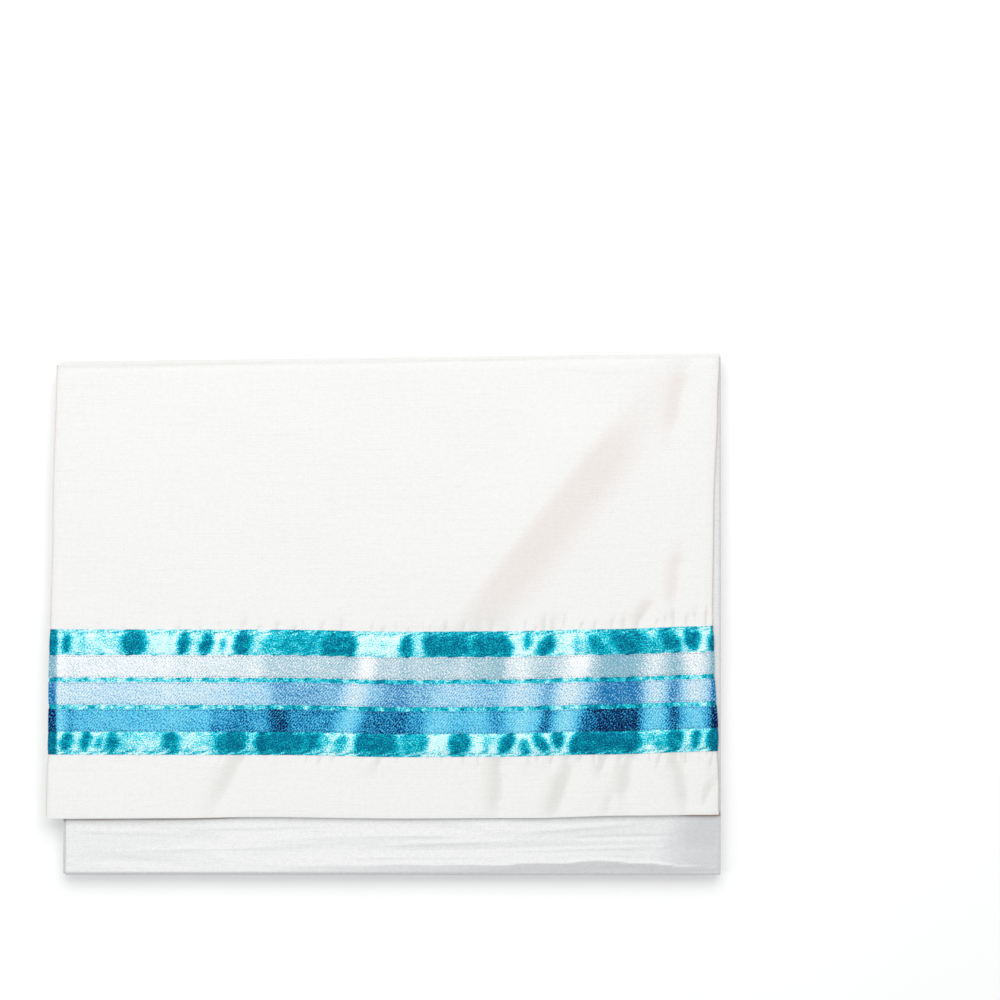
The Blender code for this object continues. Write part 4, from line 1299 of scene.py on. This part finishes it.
def one_stitch(sizes):
    """The points and faces of a stitch: a short rounded length of thread."""
    bpy.ops.mesh.primitive_uv_sphere_add(segments=6, ring_count=5, radius=0.5)
    stitch = bpy.context.active_object
    bpy.ops.object.mode_set(mode="EDIT")
    bpy.ops.mesh.select_all(action="SELECT")
    bpy.ops.transform.rotate(value=UP, orient_axis="Y", center_override=(0.0, 0.0, 0.0))
    bpy.ops.transform.resize(value=(sizes.stitch_length, sizes.stitch_width, sizes.stitch_width * 0.8))
    bpy.ops.object.mode_set(mode="OBJECT")
    points = np.array([vertex.co for vertex in stitch.data.vertices])
    faces = [tuple(polygon.vertices) for polygon in stitch.data.polygons]
    bpy.data.objects.remove(stitch)
    return points, faces


def stitch_line(name, sizes, inset, out, thread):
    """A row of stitches along the band, at a distance from its front edge."""
    points, faces = one_stitch(sizes)
    row = flap_row(along_band(inset), 0.0)
    count = int((BUNDLE_RIGHT - BUNDLE_LEFT - STITCH_MARGINS) / sizes.stitch_pitch)
    chance = np.random.default_rng(count + len(name))
    shares = np.linspace(*STITCHED, count) + chance.uniform(-STITCH_SWAY, STITCH_SWAY, count)
    step = STITCH_STEP / (BUNDLE_RIGHT - BUNDLE_LEFT)
    before, middle, after = (
        place(
            columns_of(sizes.third_pitch, ("outer third", shares + shift)),
            row, sizes.third_pitch, sizes.cloth_thickness, out,
        )
        for shift in (-step, 0.0, step)
    )
    along = after - before
    along /= np.linalg.norm(along, axis=1)[:, None]
    up = np.cross(along, (0.0, 1.0, 0.0))
    up /= np.linalg.norm(up, axis=1)[:, None]
    up *= np.sign(up[:, 2])[:, None]
    side = np.cross(up, along)
    placed = (
        middle[:, None]
        + points[None, :, 0, None] * along[:, None]
        + points[None, :, 1, None] * side[:, None]
        + points[None, :, 2, None] * up[:, None]
    )
    every_face = [
        tuple(index + number * len(points) for index in face) for number in range(count) for face in faces
    ]
    mesh = bpy.data.meshes.new(name)
    mesh.from_pydata(placed.reshape(-1, 3).tolist(), [], every_face)
    mesh.shade_smooth()
    finish_piece(link_new(name, mesh), thread, [])


class SHAWL_OT_stitching(bpy.types.Operator):
    """Sew the satin ribbon and the three narrow ones down with rows of stitches"""

    bl_idname = "mesh.shawl_stitching"
    bl_label = "Stitching"

    def execute(self, context):
        sizes, _ = shawl_settings(context)
        thread = thread_material("turquoise thread", (0.02, 0.38, 0.48))
        out = sizes.satin_height + sizes.satin_thickness / 2
        for side, inset in (("front", TOPSTITCH_INSET), ("back", BAND_WIDTH - TOPSTITCH_INSET)):
            stitch_line(side + "_topstitch", sizes, inset, out, thread)
        colours = (("silver", (0.24, 0.33, 0.38)), ("sky", (0.14, 0.36, 0.60)), ("royal", (0.003, 0.030, 0.10)))
        out = sizes.twill_height + sizes.twill_thickness / 2
        for (front, back), (name, colour) in zip(ribbon_insets(), colours):
            thread = thread_material(name + " thread", colour)
            for side, inset in (("front", front + STITCH_INSET), ("back", back - STITCH_INSET)):
                stitch_line(name + "_" + side + "_stitches", sizes, inset, out, thread)
        return {"FINISHED"}


def add_window(name, position, size, power, colour):
    """A soft rectangular light that points at the origin."""
    light = bpy.data.lights.new(name, "AREA")
    light.shape = "RECTANGLE"
    light.size, light.size_y = size
    light.energy = power
    light.color = colour
    lamp = link_new(name, light)
    lamp.location = position
    x, y, z = position / np.linalg.norm(position)
    lamp.rotation_euler = (math.acos(z), 0.0, math.atan2(x, -y))


# The camera, what the photograph's width spans at the level of the bundle's face, the floor and the room's light
CAMERA_PLACE = (0.0699, 0.0687, 1.8)
PHOTO_LEVEL = 0.015
PHOTO_WIDTH = 0.6
FLOOR_SIZE = 5.0
ROOM_STRENGTH = 0.65


class SHAWL_OT_stage(bpy.types.Operator):
    """Set the floor, the soft light and the camera"""

    bl_idname = "mesh.shawl_stage"
    bl_label = "Stage"

    def execute(self, context):
        bpy.ops.mesh.primitive_plane_add(size=FLOOR_SIZE, location=(0.0, 0.0, 0.0))
        floor = bpy.context.active_object
        floor.name = "floor"
        bpy.ops.object.mode_set(mode="EDIT")
        bpy.ops.mesh.select_all(action="SELECT")
        bpy.ops.mesh.inset(thickness=0.3)
        bpy.ops.mesh.subdivide(number_cuts=4)
        bpy.ops.object.mode_set(mode="OBJECT")
        material, tree, shader = new_material("pale floor", Roughness=0.9)
        position = node(tree, "ShaderNodeTexCoord").outputs["Object"]
        cloudy = noise_at(tree, position, (6.0, 6.0, 6.0), 2.0)
        colour = blend_colours(tree, cloudy, (0.96, 0.96, 0.96, 1.0), (0.98, 0.98, 0.98, 1.0))
        tree.links.new(colour, shader.inputs["Base Color"])
        floor.data.materials.append(material)

        world = bpy.data.worlds.new("soft room")
        world.use_nodes = True
        background = world.node_tree.nodes["Background"]
        background.inputs["Color"].default_value = (0.98, 0.99, 1.0, 1.0)
        background.inputs["Strength"].default_value = ROOM_STRENGTH
        context.scene.world = world
        add_window("window", (0.10, 0.95, 1.5), (1.5, 1.2), 16.9, (1.0, 0.995, 0.98))
        add_window("side window", (-0.95, -0.10, 1.4), (0.5, 1.2), 3.8, (1.0, 1.0, 1.0))
        context.scene.view_settings.view_transform = "Standard"

        camera = bpy.data.cameras.new("camera")
        camera.sensor_width = 36.0
        camera.lens = camera.sensor_width * (CAMERA_PLACE[2] - PHOTO_LEVEL) / PHOTO_WIDTH
        eye = link_new("camera", camera)
        eye.location = CAMERA_PLACE
        context.scene.camera = eye
        return {"FINISHED"}


OPERATORS = (
    SHAWL_OT_stage,
    SHAWL_OT_hidden_panels,
    SHAWL_OT_lower_panel,
    SHAWL_OT_upper_panel,
    SHAWL_OT_satin_ribbon,
    SHAWL_OT_twill_ribbons,
    SHAWL_OT_stitching,
)


class VIEW3D_PT_shawl(bpy.types.Panel):
    """Lists the shawl's pieces, sizes and colours"""

    bl_label = "Folded Shawl"
    bl_idname = "VIEW3D_PT_shawl"
    bl_space_type = "VIEW_3D"
    bl_region_type = "UI"
    bl_category = "Shawl"

    def draw(self, context):
        sizes, colours = shawl_settings(context)
        for operator in OPERATORS:
            self.layout.operator(operator.bl_idname)
        for group in (sizes, colours):
            column = self.layout.column()
            for name in group.__annotations__:
                column.prop(group, name)


CLASSES = (ShawlSizes, ShawlColours, VIEW3D_PT_shawl) + OPERATORS


def register():
    for item in CLASSES:
        bpy.utils.register_class(item)
    bpy.types.Scene.shawl_sizes = PointerProperty(type=ShawlSizes)
    bpy.types.Scene.shawl_colours = PointerProperty(type=ShawlColours)


def unregister():
    del bpy.types.Scene.shawl_colours
    del bpy.types.Scene.shawl_sizes
    for item in reversed(CLASSES):
        bpy.utils.unregister_class(item)


def main():
    register()
    bpy.ops.mesh.shawl_stage()
    bpy.ops.mesh.shawl_hidden_panels()
    bpy.ops.mesh.shawl_lower_panel()
    bpy.ops.mesh.shawl_upper_panel()
    bpy.ops.mesh.shawl_satin_ribbon()
    bpy.ops.mesh.shawl_twill_ribbons()
    bpy.ops.mesh.shawl_stitching()


if __name__ == "__main__":
    main()
